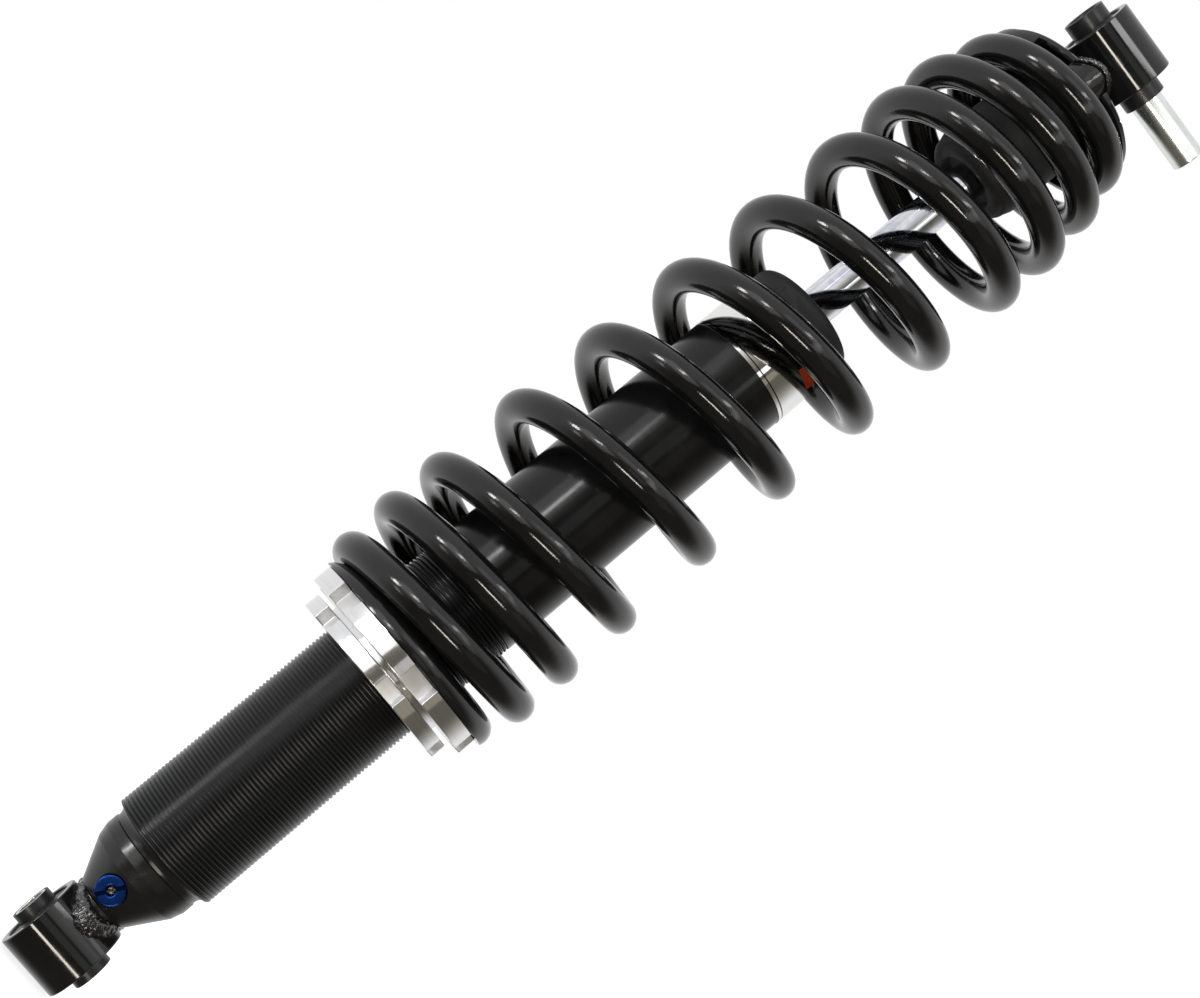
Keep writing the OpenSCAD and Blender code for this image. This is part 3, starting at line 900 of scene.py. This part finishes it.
@dataclass
class EyeEnd:
    """One eye of the strut, with its bushings and its sleeve, in millimetres."""

    eye: str
    bushings: str
    sleeve: str
    body: Body
    sleeve_body: Body
    collar: float
    wall: float = 3.0
    recess: float = 0.8
    mouth: float = 6.75
    bore: float = 6.03
    sleeve_bore: float = 5.1
    fit: float = 0.02
    parting: float = 0.3
    foot: tuple[float, float] = (0.9, 0.5)
    lip: float = 0.4
    countersink: float = 1.0
    eye_round: float = 0.55
    bushing_round: float = 0.35
    sleeve_round: float = 0.5
    small_steps: int = 72

    def build(self) -> None:
        """Builds the eye, both bushings and the sleeve."""
        eye, bush, sleeve = (Extent.of(n) for n in (self.eye, self.bushings, self.sleeve))
        place = Place(Way.EYE, round(eye.middle(2), 3))
        outer, half = eye.radius(2), eye.radius(0)
        inner = outer - self.wall
        tube = washer(inner, outer, -half, half)
        ring = turned(tube, place, rounding=self.eye_round, segments=3)
        finished(ring, f"{self.eye}_tube", self.body, BLACK, place, [self.eye])
        for side, sign, tip in (("far", 1, bush.high.x), ("near", -1, -bush.low.x)):
            outline = [(r, sign * d) for r, d in self._bushing(inner, half - self.recess, tip)]
            finished(
                turned(outline, place, self.small_steps, self.bushing_round),
                f"{self.bushings}_{side}", self.body, BUSHING, place, [self.bushings],
            )
        tube = washer(self.sleeve_bore, sleeve.radius(2), sleeve.low.x, sleeve.high.x)
        finished(
            turned(tube, place, self.small_steps, self.sleeve_round),
            f"{self.sleeve}_tube", self.sleeve_body, ZINC, place, [self.sleeve],
        )

    def _bushing(self, inner: float, shoulder: float, tip: float) -> Profile:
        """The outline of a bushing in a bore, out to its shoulder and to its tip."""
        mouth = min(self.mouth, self.collar - self.lip)
        wide, rise = self.foot
        return [
            (self.bore, self.parting), (inner - self.fit, self.parting),
            (inner - self.fit, shoulder), (self.collar + wide, shoulder),
            (self.collar, shoulder + rise), (self.collar, tip), (mouth, tip),
            (self.bore, tip - self.countersink),
        ]


@dataclass
class WeldBead:
    """A bead laid round an upright neck where it meets an eye, in millimetres."""

    node: str
    body: Body
    neck: float
    eye: float
    thick: float
    wide: float
    upright: int
    lumps: float
    seed: float
    lift: float = 0.0
    slim: float = 1.0
    pinch: float = 0.0
    stations: int = 260
    sides: int = 36
    waves: tuple[float, float, float] = (0.33, 0.75, 1.9)
    shares: tuple[float, float, float] = (0.55, 0.9, 0.22)
    ripple_mean: float = 0.25

    def build(self, height: float) -> None:
        """Builds the bead for an eye at a height."""
        frames = []
        for i in range(self.stations):
            turn = math.tau * i / self.stations
            here, ahead = (self._on_saddle(a, height) for a in (turn, turn + 0.01))
            full = self.slim + (1.0 - self.slim) * math.sin(turn) ** 2
            section = Matrix.Diagonal((self.thick * full, self.wide * full, 1.0, 1.0))
            frames.append(frame_at(here, ahead - here, around(1.0, turn, 0.0)) @ section)
        bead = swept(frames, self.sides, closed=True)
        bead.normal_update()
        moves = {v: v.normal * self._lump(v.co) for v in bead.verts}
        for vert, move in moves.items():
            vert.co += move
        name = f"{self.node}_bead"
        finished(bead, name, self.body, WELD_BLACK, Place(), [self.node], sharp=180.0)

    def _lump(self, point: Vector) -> float:
        """How far the bead's skin stands out at a point."""
        shift = Vector((self.seed, 0.0, 0.0))
        coarse, ripple, fine = (noise.noise(point * waves + shift) for waves in self.waves)
        ripple = abs(ripple) - self.ripple_mean
        parts = zip(self.shares, (coarse, ripple, fine))
        return self.lumps * sum(share * part for share, part in parts)

    def _on_saddle(self, turn: float, height: float) -> Vector:
        """The point where the neck meets an eye at a height, at an angle round the neck."""
        x, y = (self.neck - self.pinch) * math.cos(turn), self.neck * math.sin(turn)
        rise = math.sqrt(max(self.eye**2 - y**2, 0.0))
        return Vector((x, y, height + self.upright * (rise + self.lift)))


@dataclass
class ShockTube:
    """The threaded body of the shock with its label and end cap, in millimetres."""

    pitch: float = 1.5
    tooth: float = 0.62
    crest: float = 0.57
    crest_middle: float = 0.85
    root_flat: float = 0.2
    thread_top: float = 170.0
    run_out: float = 0.6
    bore: float = 18.05
    foil: float = 0.12
    cap_mouth: float = 11.0
    cap_round: float = 3.2
    cap_step: tuple[float, float, float] = (0.3, 0.35, 0.55)

    def build(self) -> None:
        """Builds the tube, the label and the cap."""
        self._tube()
        self._label()
        self._cap()

    def _tube(self) -> None:
        """The tube, with a true helical thread on its lower part."""
        low, high, r = Extent.of("shock_body").span()
        outline, z = [], low - self.pitch
        while z < self.thread_top:
            outline += self._groove(r, z)
            for a in bends(-45, 45, 18):
                rise = self.crest_middle + self.crest * math.sin(a)
                outline.append((r - self.crest * (1 - math.cos(a)), z + rise))
            z += self.pitch
        outline += self._groove(r, z)
        bm = bmesh.new()
        verts = [bm.verts.new((a, 0.0, b)) for a, b in outline]
        edges = [bm.edges.new(pair) for pair in zip(verts, verts[1:])]
        bmesh.ops.spin(
            bm, geom=[*verts, *edges], cent=upward(0.0), axis=upward(1.0),
            dvec=upward(self.pitch / STEPS), angle=math.tau, steps=STEPS, use_merge=False,
        )
        bmesh.ops.remove_doubles(bm, verts=bm.verts, dist=0.01)
        for height, above in ((low, True), (self.thread_top, False)):
            bmesh.ops.bisect_plane(
                bm, geom=all_of(bm), dist=HAIR, plane_co=upward(height),
                plane_no=upward(1.0), clear_inner=above, clear_outer=not above,
            )
        self._wall(bm, low, high, r)
        for face in bm.faces:
            face.material_index = int(face.calc_center_median().z > self.thread_top + 0.5)
        finished(
            bm, "threaded_tube", Body.BODY, THREAD_BLACK, Place(), ["shock_body"], 45.0,
            TUBE_BLACK,
        )

    def _groove(self, r: float, z: float) -> Profile:
        """The floor of the groove that starts at a height."""
        return [(r - self.tooth, z), (r - self.tooth, z + self.root_flat)]

    def _wall(self, bm: BMesh, low: float, high: float, r: float) -> None:
        """Carries the rims of the thread's skin on into the plain tube and the bore."""
        lower, upper = (
            [e for e in bm.edges if e.is_boundary and all(abs(v.co.z - z) < 0.01 for v in e.verts)]
            for z in (low, self.thread_top)
        )
        steps = [(r, self.thread_top + self.run_out), (r, high), (self.bore, high)]
        for radius, height in steps:
            upper = self._grow(bm, upper, radius, height)
        lower = self._grow(bm, lower, self.bore, low)
        bmesh.ops.bridge_loops(bm, edges=[*upper, *lower])
        bmesh.ops.recalc_face_normals(bm, faces=bm.faces)

    @staticmethod
    def _grow(bm: BMesh, rim: list[BMEdge], radius: float, height: float) -> list[BMEdge]:
        """Extrudes a rim to a radius and a height, and gives the new rim."""
        verts, edges = extruded(bm, rim)
        for v in verts:
            flat = Vector((v.co.x, v.co.y, 0.0)).normalized() * radius
            v.co = Vector((flat.x, flat.y, height))
        return edges

    def _label(self) -> None:
        """The foil label round the tube."""
        low, high, r = Extent.of("label_band").span()
        foil = Foil(
            "label_foil", (0.88, 0.88, 0.87), (0.01, 0.01, 0.01), (0.24, 0.03, 0.01), low, high
        )
        band = turned(washer(r - self.foil, r, low, high), steps=128)
        finished(band, "foil_label", Body.BODY, foil, Place(), ["label_band"])

    def _cap(self) -> None:
        """The cap that the rod comes out of."""
        _, top, r = Extent.of("end_cap").span()
        base = Extent.of("shock_body").high.z
        inset, step, lip = self.cap_step
        curl, corner = self.cap_round, bends(0, 90, 10)
        outline = [
            (self.cap_mouth, base), (r - inset, base), (r - inset, base + step), (r, base + lip),
            *((r - curl + curl * math.cos(a), top - curl + curl * math.sin(a)) for a in corner),
            (self.cap_mouth, top),
        ]
        finished(turned(outline), "rod_end_cap", Body.BODY, BUMP_RUBBER, Place(), ["end_cap"])


@dataclass
class SpannerRing:
    """A castellated ring that runs on the tube's thread, in millimetres and degrees."""

    node: str
    body: Body
    slot_width: float
    direction: float
    hub: float = 0.0
    hub_height: float = 0.0
    hub_sunk: float = 0.3
    slots: int = 6
    depth: float = 5.0
    rounding: float = 0.4
    bore: float = 22.05
    arc_steps: int = 14
    slot_steps: int = 6
    level: float = 0.3
    facing: float = 0.8
    margin: float = 1.0

    def build(self) -> None:
        """Builds the ring."""
        bottom, high, outer = Extent.of(self.node).span()
        low = bottom + self.hub_height
        floor = outer - self.depth
        half = self._half_slot(floor)
        gap = math.tau / self.slots - 2 * half
        angles = []
        for i in range(self.slots):
            middle = math.radians(self.direction) + math.tau * i / self.slots
            runs = ((-half, 2 * half, self.slot_steps), (half, gap, self.arc_steps))
            for start, width, steps in runs:
                angles += [middle + start + width * k / steps for k in range(steps)]
        bm = bmesh.new()
        made = bmesh.ops.create_circle(
            bm, cap_ends=False, radius=self.bore, segments=len(angles)
        )["verts"]
        for vert, angle in zip(made, angles):
            vert.co = around(self.bore, angle, low)
        self._slot_floors(bm, loop_edges(made, bm.edges), floor)
        self._teeth(bm, floor, outer)
        grown = bmesh.ops.extrude_face_region(bm, geom=list(bm.faces))["geom"]
        bmesh.ops.translate(bm, vec=upward(high - low), verts=picked(grown, BMVert))
        bmesh.ops.recalc_face_normals(bm, faces=bm.faces)
        soften(bm, self.rounding, 3, 25.0)
        self._mark_slots(bm, outer)
        name = f"{self.node}_body"
        finished(bm, name, self.body, ALUMINIUM, Place(), [self.node], 35.0, MILLED)
        if self.hub:
            collar = washer(self.bore, self.hub, bottom, low + self.hub_sunk)
            finished(turned(collar, rounding=0.3), f"{self.node}_hub", self.body, ALUMINIUM)

    def _half_slot(self, radius: float) -> float:
        """Half of the angle that a slot takes up at a radius."""
        return math.asin(self.slot_width / 2 / radius)

    def _from_slot(self, turn: float) -> float:
        """Angle from the nearest slot's middle."""
        step = math.tau / self.slots
        away = (turn - math.radians(self.direction)) % step
        return away - step if away > step / 2 else away

    def _mark_slots(self, bm: BMesh, outer: float) -> None:
        """Gives the walls and floors of the slots in a ring of this radius the second finish."""
        bm.normal_update()
        for face in bm.faces:
            away = face.calc_center_median().xy
            upright = abs(face.normal.z) < self.level
            facing_out = abs(face.normal.xy.dot(away.normalized())) > self.facing
            rim = facing_out and away.length > outer - self.margin
            outside = away.length > self.bore + self.margin
            face.material_index = int(upright and outside and not rim)

    def _slot_floors(self, bm: BMesh, edges: list[BMEdge], floor: float) -> None:
        """Grows the bore's loop out to the slots' flat floors, their corners at a radius."""
        half = self._half_slot(floor)
        for v in extruded(bm, edges)[0]:
            turn = math.atan2(v.co.y, v.co.x)
            away = self._from_slot(turn)
            in_slot = abs(away) < half + 1e-4
            reach = floor * math.cos(half) / math.cos(away) if in_slot else floor
            v.co = around(reach, turn, v.co.z)

    def _teeth(self, bm: BMesh, floor: float, outer: float) -> None:
        """Grows the teeth out from the slots' corners to the ring's radius."""
        half, target = self._half_slot(floor), self._half_slot(outer)
        rim = []
        for e in bm.edges:
            middle = (e.verts[0].co + e.verts[1].co) / 2
            if e.is_boundary and middle.xy.length > (self.bore + floor) / 2:
                if abs(self._from_slot(math.atan2(middle.y, middle.x))) > half:
                    rim.append(e)
        for v in extruded(bm, rim)[0]:
            turn = math.atan2(v.co.y, v.co.x)
            away = self._from_slot(turn)
            if abs(abs(away) - half) < 1e-3:
                turn += math.copysign(target, away) - away
            v.co = around(outer, turn, v.co.z)


@dataclass
class CoilSpring:
    """The progressive spring, with its ends closed and ground flat, in millimetres and turns."""

    wire: float = 6.0
    coil: float = 38.0
    turns: float = 12.0
    end_pitch: float = 19.4
    lie_pitch: float = 3.2
    opens: tuple[float, float] = (0.3, 0.8)
    closes: float = 1.45
    widens: tuple[float, float] = (2.45, 3.45)
    narrows: tuple[float, float] = (4.4, 2.95)
    taper_low: float = 4.0
    taper_low_turns: tuple[float, float] = (0.4, 1.1)
    taper_top: float = 10.0
    taper_top_turns: float = 2.6
    start: float = 222.4
    tip_rise: float = 0.8
    lead: float = 0.16
    dip: float = 5.6
    dip_curve: float = 1.3
    stations: int = 64
    sides: int = 28
    travel: float = 95.0
    wander: tuple[tuple[float, float, float], ...] = (
        (0.0, 0.0, 0.0), (0.4, -0.2, 0.5), (1.6, 0.68, 0.5), (2.6, 0.77, 0.6), (3.6, 0.77, 0.43),
        (4.6, 0.47, 0.2), (5.6, 0.17, 0.25), (6.6, -0.25, 0.08), (7.6, -0.8, -0.3),
        (8.6, -0.2, -0.2), (9.6, 0.07, -0.27), (10.6, 0.35, 0.1), (12.0, 0.0, 0.15),
    )

    def build(self) -> None:
        """Builds the spring on its two seats."""
        low, high, _ = Extent.of("coil_spring").span()
        heights = self._heights(low + self.tip_rise, high - self.tip_rise)
        points = []
        for i in range(-round(self.lead * self.stations), len(heights)):
            t = i / self.stations
            z = heights[max(i, 0)] - self.dip * (max(-t, 0.0) / self.lead) ** self.dip_curve
            sway, growth = self._wander_at(t)
            turn = math.radians(self.start + 360.0 * t)
            r = self._radius(t) + growth
            points.append(Vector((r * math.cos(turn) - sway, r * math.sin(turn), z)))
        ends = zip([points[0], *points], [*points[1:], points[-1]])
        frames = [
            frame_at(point, after - before, Vector((point.x, point.y, 0.0)), self.wire)
            for point, (before, after) in zip(points, ends)
        ]
        bm = swept(frames, self.sides)
        for seat, towards in ((low, 1), (high, -1)):
            cut_back(bm, upward(seat), upward(towards))
        spring = finished(
            bm, "coil_spring_wire", Body.PRELOAD_RING, SPRING_BLACK, Place(), ["coil_spring"], 40.0
        )
        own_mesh(spring)

    @staticmethod
    def _smooth(t: float, a: float, b: float) -> float:
        """A soft step from 0 at a to 1 at b."""
        x = max(0.0, min(1.0, (t - a) / (b - a)))
        return x * x * (3 - 2 * x)

    def _heights(self, low: float, high: float) -> list[float]:
        """Height of the wire's centre line at each station, from a low end to a high one."""
        smooth, n = self._smooth, self.turns
        times = [(i + 0.5) / self.stations for i in range(round(n * self.stations))]
        close = [smooth(t, *self.opens) - smooth(t, n - self.closes, n) for t in times]
        narrows = [n - left for left in self.narrows]
        wide = [smooth(t, *self.widens) - smooth(t, *narrows) for t in times]
        base = [self.lie_pitch + (self.end_pitch - self.lie_pitch) * c for c in close]
        extra = ((high - low) * self.stations - sum(base)) / sum(wide)
        heights = [low]
        for b, w in zip(base, wide):
            heights.append(heights[-1] + (b + extra * w) / self.stations)
        return heights

    def _wander_at(self, t: float) -> tuple[float, float]:
        """How far a wound coil strays after t turns: to -X, and outwards."""
        for (a, *first), (b, *second) in zip(self.wander, self.wander[1:]):
            if a <= t <= b:
                share = (t - a) / (b - a)
                sway, growth = (p + (q - p) * share for p, q in zip(first, second))
                return sway, growth
        return 0.0, 0.0

    def _radius(self, t: float) -> float:
        """Distance of the wire's centre line from the strut's line after t turns."""
        drawn_in = self.taper_low * (1 - self._smooth(t, *self.taper_low_turns))
        tapering = self._smooth(t, self.turns - self.taper_top_turns, self.turns)
        return self.coil - drawn_in - self.taper_top * tapering


@dataclass
class FillScrew:
    """The slotted gas fill screw in the cone, with the plug in its hole, in millimetres."""

    place: Place = Place(Way.PORT, 23.2)
    face: float = 15.0
    radius: float = 5.25
    thick: float = 3.0
    shank: float = 3.0
    shank_end: float = 6.0
    hole: float = 1.6
    hole_depth: float = 2.1
    slot: float = 1.4
    slot_depth: float = 1.25
    slot_turn: float = 117.0
    rim: tuple[float, float] = (0.8, 0.5)
    sink: tuple[float, float] = (0.7, 0.6)
    overlap: float = 0.03
    plug_gap: float = 0.03
    plug_nose: float = 0.9
    plug_depths: tuple[float, ...] = (2.2, 1.3, 0.95, 1.2)

    def build(self) -> None:
        """Builds the screw and the plug in its hole."""
        top, foot, floor = (self.face - depth for depth in (0.0, self.thick, self.slot_depth))
        end, plug = self.shank_end, self.hole - self.plug_gap
        base = [
            (0.0, end), (self.shank, end), (self.shank, foot), (self.radius, foot),
            (self.radius, floor), (self.hole, floor), (self.hole, top - self.hole_depth),
            (0.0, top - self.hole_depth),
        ]
        screw = turned(base, self.place, 64)
        # The slot's floor and the hole's bottom get the darker blue of painted shade.
        self._mark_painted_shade(screw, Vector(self.place.way.value), 0.0, floor + 0.1)
        for side in (-1, 1):
            self._add_half(screw, side, floor - self.overlap, top)
        finished(
            screw, "fill_screw_head", Body.BODY, BLUE, self.place, ["fill_screw"], 40.0, BLUE_PAINTED_SHADE
        )
        back, side, nose, tip = (top - depth for depth in self.plug_depths)
        outline = [(0.0, back), (plug, back), (plug, side), (self.plug_nose, nose), (0.0, tip)]
        rubber = turned(outline, self.place, 40, 0.12)
        finished(rubber, "fill_plug", Body.BODY, WELD_BLACK, self.place)

    @staticmethod
    def _mark_painted_shade(bm: BMesh, line: Vector, low: float, high: float) -> None:
        """Gives the faces that look along a line, between two distances, the second finish, a
        darker blue that paints shade into the slot and the hole.
        """
        bm.normal_update()
        for face in bm.faces:
            reach = face.calc_center_median().dot(line)
            face.material_index = int(abs(face.normal.dot(line)) > 0.9 and low < reach < high)

    def _add_half(self, bm: BMesh, side: int, low: float, high: float) -> None:
        """Adds the head on one side of the slot, from the slot's floor to the face."""
        corner, drop = self.rim
        flare, dish = self.sink
        outline = [
            (self.hole, low), (self.radius, low),
            *(
                (self.radius - corner * (1 - math.cos(a)), high - drop * (1 - math.sin(a)))
                for a in bends(0, 90, 15)
            ),
            *(
                (self.hole + flare * (1 - math.sin(a)), high - dish * (1 - math.cos(a)))
                for a in bends(0, 90, 15)
            ),
        ]
        half = turned(outline, self.place)
        line = Vector(self.place.way.value)
        level = Vector((-line.y, line.x, 0.0))
        turn = math.radians(self.slot_turn)
        across = (level * math.sin(turn) + upward(1.0) * math.cos(turn)) * side
        cut_back(half, upward(self.place.height) + across * self.slot / 2, across)
        # The slot's walls get the darker blue of painted shade.
        self._mark_painted_shade(half, across, 0.0, 100.0)
        spare = baked(half, "spare")
        bm.from_mesh(spare)
        bpy.data.meshes.remove(spare)


@dataclass
class BumpStop:
    """The rubber bump stop above the end cap, in millimetres."""

    travel: float = 95.0
    clearance: float = 0.1
    bore: float = 7.03
    recess: Profile = ((bore, 3.0), (9.6, 3.0), (10.6, 2.2), (11.2, 0.4), (12.0, 0.0))
    lip: float = 4.0
    lip_inset: float = 5.5
    flank: Profile = ((0.5, 7.0), (0.0, 10.0))
    corner: float = 1.6

    def build(self) -> None:
        """Builds the bump stop."""
        low, high, r = Extent.of("bump_stop").span()
        rim = [
            (r - self.lip_inset + self.lip * math.sin(a), low + self.lip * (1 - math.cos(a)))
            for a in bends(0, 90, 10)
        ]
        outline = [
            *((reach, low + rise) for reach, rise in self.recess), *rim,
            *((r - inset, low + rise) for inset, rise in self.flank),
            (r, high - self.corner), (r - self.corner, high), (self.bore, high),
        ]
        stop = finished(
            turned(outline, steps=120), "bump_stop_rubber", Body.ROD, BUMP_RUBBER, Place(),
            ["bump_stop"], 50.0,
        )
        free = low - Extent.of("end_cap").high.z
        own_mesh(stop)


NODE_FINISHES = {
    "spring_retainer": BLACK,
    "bump_cup": BLACK,
    "rod_boss": BOSS_BLACK,
    "rod": CHROME_PAINTED_REFLECTION,
    "end_cone": CONE_BLACK,
    "fill_pellet": SEAL_RUBBER,
    "wiper": SEAL_RUBBER,
    "retaining_clip": SPRING_STEEL,
    "seal_head": ALUMINIUM,
    "head_oring": SEAL_RUBBER,
    "rod_seal": SEAL_RUBBER,
    "rod_bush": BRONZE,
    "floating_piston": ALUMINIUM,
    "floating_oring": SEAL_RUBBER,
    "topout_bumper": SEAL_RUBBER,
    "compression_shims": SPRING_STEEL,
    "piston": ALUMINIUM,
    "piston_band": PTFE,
    "rebound_shims": SPRING_STEEL,
    "piston_nut": ZINC,
}


# --- Studio ----------------------------------------------------------------------------------


@dataclass(frozen=True)
class SoftLight:
    """A soft panel as the camera sees it, its length and width given per metre of distance."""

    name: str
    towards: tuple[float, float, float]
    lean: float
    length: float
    width: float
    radiance: float
    colour: Colour = WHITE
    distance: float = 10.0
    height: float = 0.23


@dataclass
class Studio:
    """Camera, floor, world and lights."""

    sensor: float = 36.0
    clip: tuple[float, float] = (0.01, 50.0)
    focal: float = 56.4696
    shift: tuple[float, float] = (-0.00057, -0.00125)
    station: Vector = field(default_factory=lambda: Vector((-0.0798, -0.6310, 0.1233)))
    right: Vector = field(default_factory=lambda: Vector((0.62037, -0.20621, 0.75672)))
    up: Vector = field(default_factory=lambda: Vector((-0.77380, -0.00350, 0.63342)))
    back: Vector = field(default_factory=lambda: Vector((-0.12797, -0.97850, -0.16173)))
    floor_height: float = -0.0152
    floor_size: float = 6.0
    floor_tone: float = 0.82
    floor_glow: float = 0.8
    darkest: float = 0.12
    brightest: float = 0.88
    fill: float = 0.45
    lean: float = 0.9
    rise: tuple[float, float] = (-0.6, 0.0)
    tint_rise: tuple[float, float] = (-0.6, -0.1)
    ground_tint: Colour = (1.0, 0.93, 0.78)
    lights: tuple[SoftLight, ...] = (
        SoftLight("left_panel", (-0.72, 0.20, 0.66), 55.0, 0.2, 0.1, 3.0),
        SoftLight("key_panel", (-0.52, 0.57, 0.64), 45.0, 0.2, 0.12, 22.0),
        SoftLight("top_panel", (-0.13, 0.51, 0.85), 30.0, 0.18, 0.1, 14.0),
        SoftLight("sky_panel", (-0.22, 0.50, 0.84), 110.0, 0.73, 0.5, 1.0),
        SoftLight("right_sky", (0.66, 0.28, 0.70), -51.0, 0.93, 0.42, 0.55),
        SoftLight("middle_panel", (0.38, -0.05, 0.92), -51.0, 0.36, 0.3, 0.4),
        SoftLight("right_panel", (0.73, 0.39, 0.56), -51.0, 0.085, 0.297, 6.5, distance=0.842),
        SoftLight(
            "sleeve_panel", (0.308, -0.302, 0.902), -51.0, 0.15, 1.06, 1.3,
            distance=0.256, height=0.477,
        ),
        SoftLight("low_strip", (-0.05, -0.35, 0.935), -51.0, 0.5, 0.095, 20.0, (1.0, 0.93, 0.8)),
        SoftLight("tan_panel", (0.58, -0.48, 0.66), 0.0, 0.5, 0.5, 0.16, (1.0, 0.9, 0.7)),
    )

    def build(self) -> None:
        """Sets up the camera, the floor, the world and the lights."""
        scene = bpy.context.scene
        scene.view_settings.view_transform = "Standard"
        self._camera(scene)
        self._floor()
        self._world(scene)
        for light in self.lights:
            self._light(light)

    def _camera(self, scene: bpy.types.Scene) -> None:
        """The camera, which sees the strut lie across the frame from corner to corner."""
        data = bpy.data.cameras.new("camera")
        data.sensor_fit = "HORIZONTAL"
        data.sensor_width = self.sensor
        data.lens = self.focal
        data.shift_x, data.shift_y = self.shift
        data.clip_start, data.clip_end = self.clip
        camera = placed("camera", data)
        turn = columns(self.right, self.up, self.back)
        camera.matrix_world = Matrix.Translation(self.station) @ turn
        scene.camera = camera

    def _floor(self) -> None:
        """A pale floor that keeps the object's shadow, and lets the low panels' light through."""
        bm = bmesh.new()
        bmesh.ops.create_grid(bm, x_segments=1, y_segments=1, size=self.floor_size)
        bmesh.ops.translate(bm, vec=upward(self.floor_height), verts=bm.verts)
        mesh = baked(bm, "floor")
        floor = placed("floor", mesh)
        floor.visible_shadow = False
        floor.visible_glossy = False
        floor.visible_diffuse = False
        material = bpy.data.materials.new("floor_white")
        material.use_nodes = True
        w = Wiring(material.node_tree)
        seen = w.node("LightPath").outputs["Is Camera Ray"]
        diffuse = w.node("BsdfDiffuse", {"Color": (*[self.floor_tone] * 3, 1.0)})
        strength = w.math("MULTIPLY", seen, self.floor_glow)
        glow = w.node("Emission", {"Color": (*WHITE, 1.0), "Strength": strength})
        both = w.node("AddShader", {0: diffuse.outputs[0], 1: glow.outputs[0]})
        w.node("OutputMaterial", {"Surface": both.outputs[0]})
        mesh.materials.append(material)

    def _world(self, scene: bpy.types.Scene) -> None:
        """White where it is seen, bright behind the object in reflections, darker in front."""
        world = bpy.data.worlds.new("world")
        scene.world = world
        world.use_nodes = True
        w = Wiring(world.node_tree)
        path = w.node("LightPath").outputs
        glossy = path["Is Glossy Ray"]
        seen = w.math("MAXIMUM", path["Is Camera Ray"], path["Is Transmission Ray"])
        towards = w.node("TexCoord").outputs["Generated"]
        slope = (self.up - self.back * self.lean).normalized()
        dot = w.node("VectorMath", {0: towards, 1: tuple(slope)}, operation="DOT_PRODUCT")
        height = dot.outputs["Value"]
        bright = w.remap(height, *self.rise, self.darkest, self.brightest)
        tent = w.math("MULTIPLY", glossy, bright)
        tint = w.blend(w.remap(height, *self.tint_rise), self.ground_tint, WHITE)
        plain = w.math("SUBTRACT", 1.0, w.math("MAXIMUM", seen, glossy))
        lit = w.math("MAXIMUM", seen, tent)
        strength = w.math("ADD", lit, w.math("MULTIPLY", plain, self.fill))
        shown = w.blend(glossy, WHITE, tint)
        background = w.node("Background", {"Color": shown, "Strength": strength})
        w.node("OutputWorld", {"Surface": background.outputs[0]})

    def _light(self, light: SoftLight) -> None:
        """Places one soft panel, turned to the strut."""
        data = bpy.data.lights.new(light.name, "AREA")
        data.shape = "RECTANGLE"
        data.size, data.size_y = light.length * light.distance, light.width * light.distance
        data.energy = light.radiance * math.pi * data.size * data.size_y
        data.color = light.colour
        lamp = placed(light.name, data)
        lamp.visible_camera = False
        right, up, near = light.towards
        away = (self.right * right + self.up * up + self.back * near).normalized()
        lean = math.radians(light.lean)
        along = self.right * math.cos(lean) + self.up * math.sin(lean)
        along = (along - away * along.dot(away)).normalized()
        place = upward(light.height) + away * light.distance
        turn = columns(along, away.cross(along), away)
        lamp.matrix_world = Matrix.Translation(place) @ turn


def main() -> None:
    """Builds every sub-assembly in order."""
    logging.basicConfig(level=logging.INFO, format="%(name)s: %(message)s", stream=sys.stdout)
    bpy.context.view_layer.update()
    for end, body, sleeve_body, collar in (
        ("lower", Body.BODY, Body.LOWER_SLEEVE, 6.9),
        ("upper", Body.ROD, Body.UPPER_SLEEVE, 7.9),
    ):
        nodes = (f"{end}_{part}" for part in ("eye", "bushings", "sleeve"))
        EyeEnd(*nodes, body, sleeve_body, collar).build()
    WeldBead(
        "lower_weld", Body.BODY, neck=11.4, eye=14.9, thick=2.1, wide=3.9, upright=1, lumps=1.0,
        seed=3.7, lift=1.2, slim=0.3, pinch=1.6,
    ).build(0.0)
    WeldBead(
        "upper_weld", Body.ROD, neck=9.2, eye=14.3, thick=1.1, wide=1.5, upright=-1, lumps=0.4,
        seed=8.1,
    ).build(Extent.of("upper_eye").middle(2))
    ShockTube().build()
    SpannerRing("lock_ring", Body.LOCK_RING, slot_width=8.7, direction=35.0).build()
    SpannerRing(
        "preload_ring", Body.PRELOAD_RING, slot_width=11.4, direction=40.0, hub=26.0,
        hub_height=2.0,
    ).build()
    CoilSpring().build()
    FillScrew().build()
    BumpStop().build()
    for node, finish in NODE_FINISHES.items():
        WARDROBE.dress_node(node, finish)
    Studio().build()


if __name__ == "__main__":
    main()
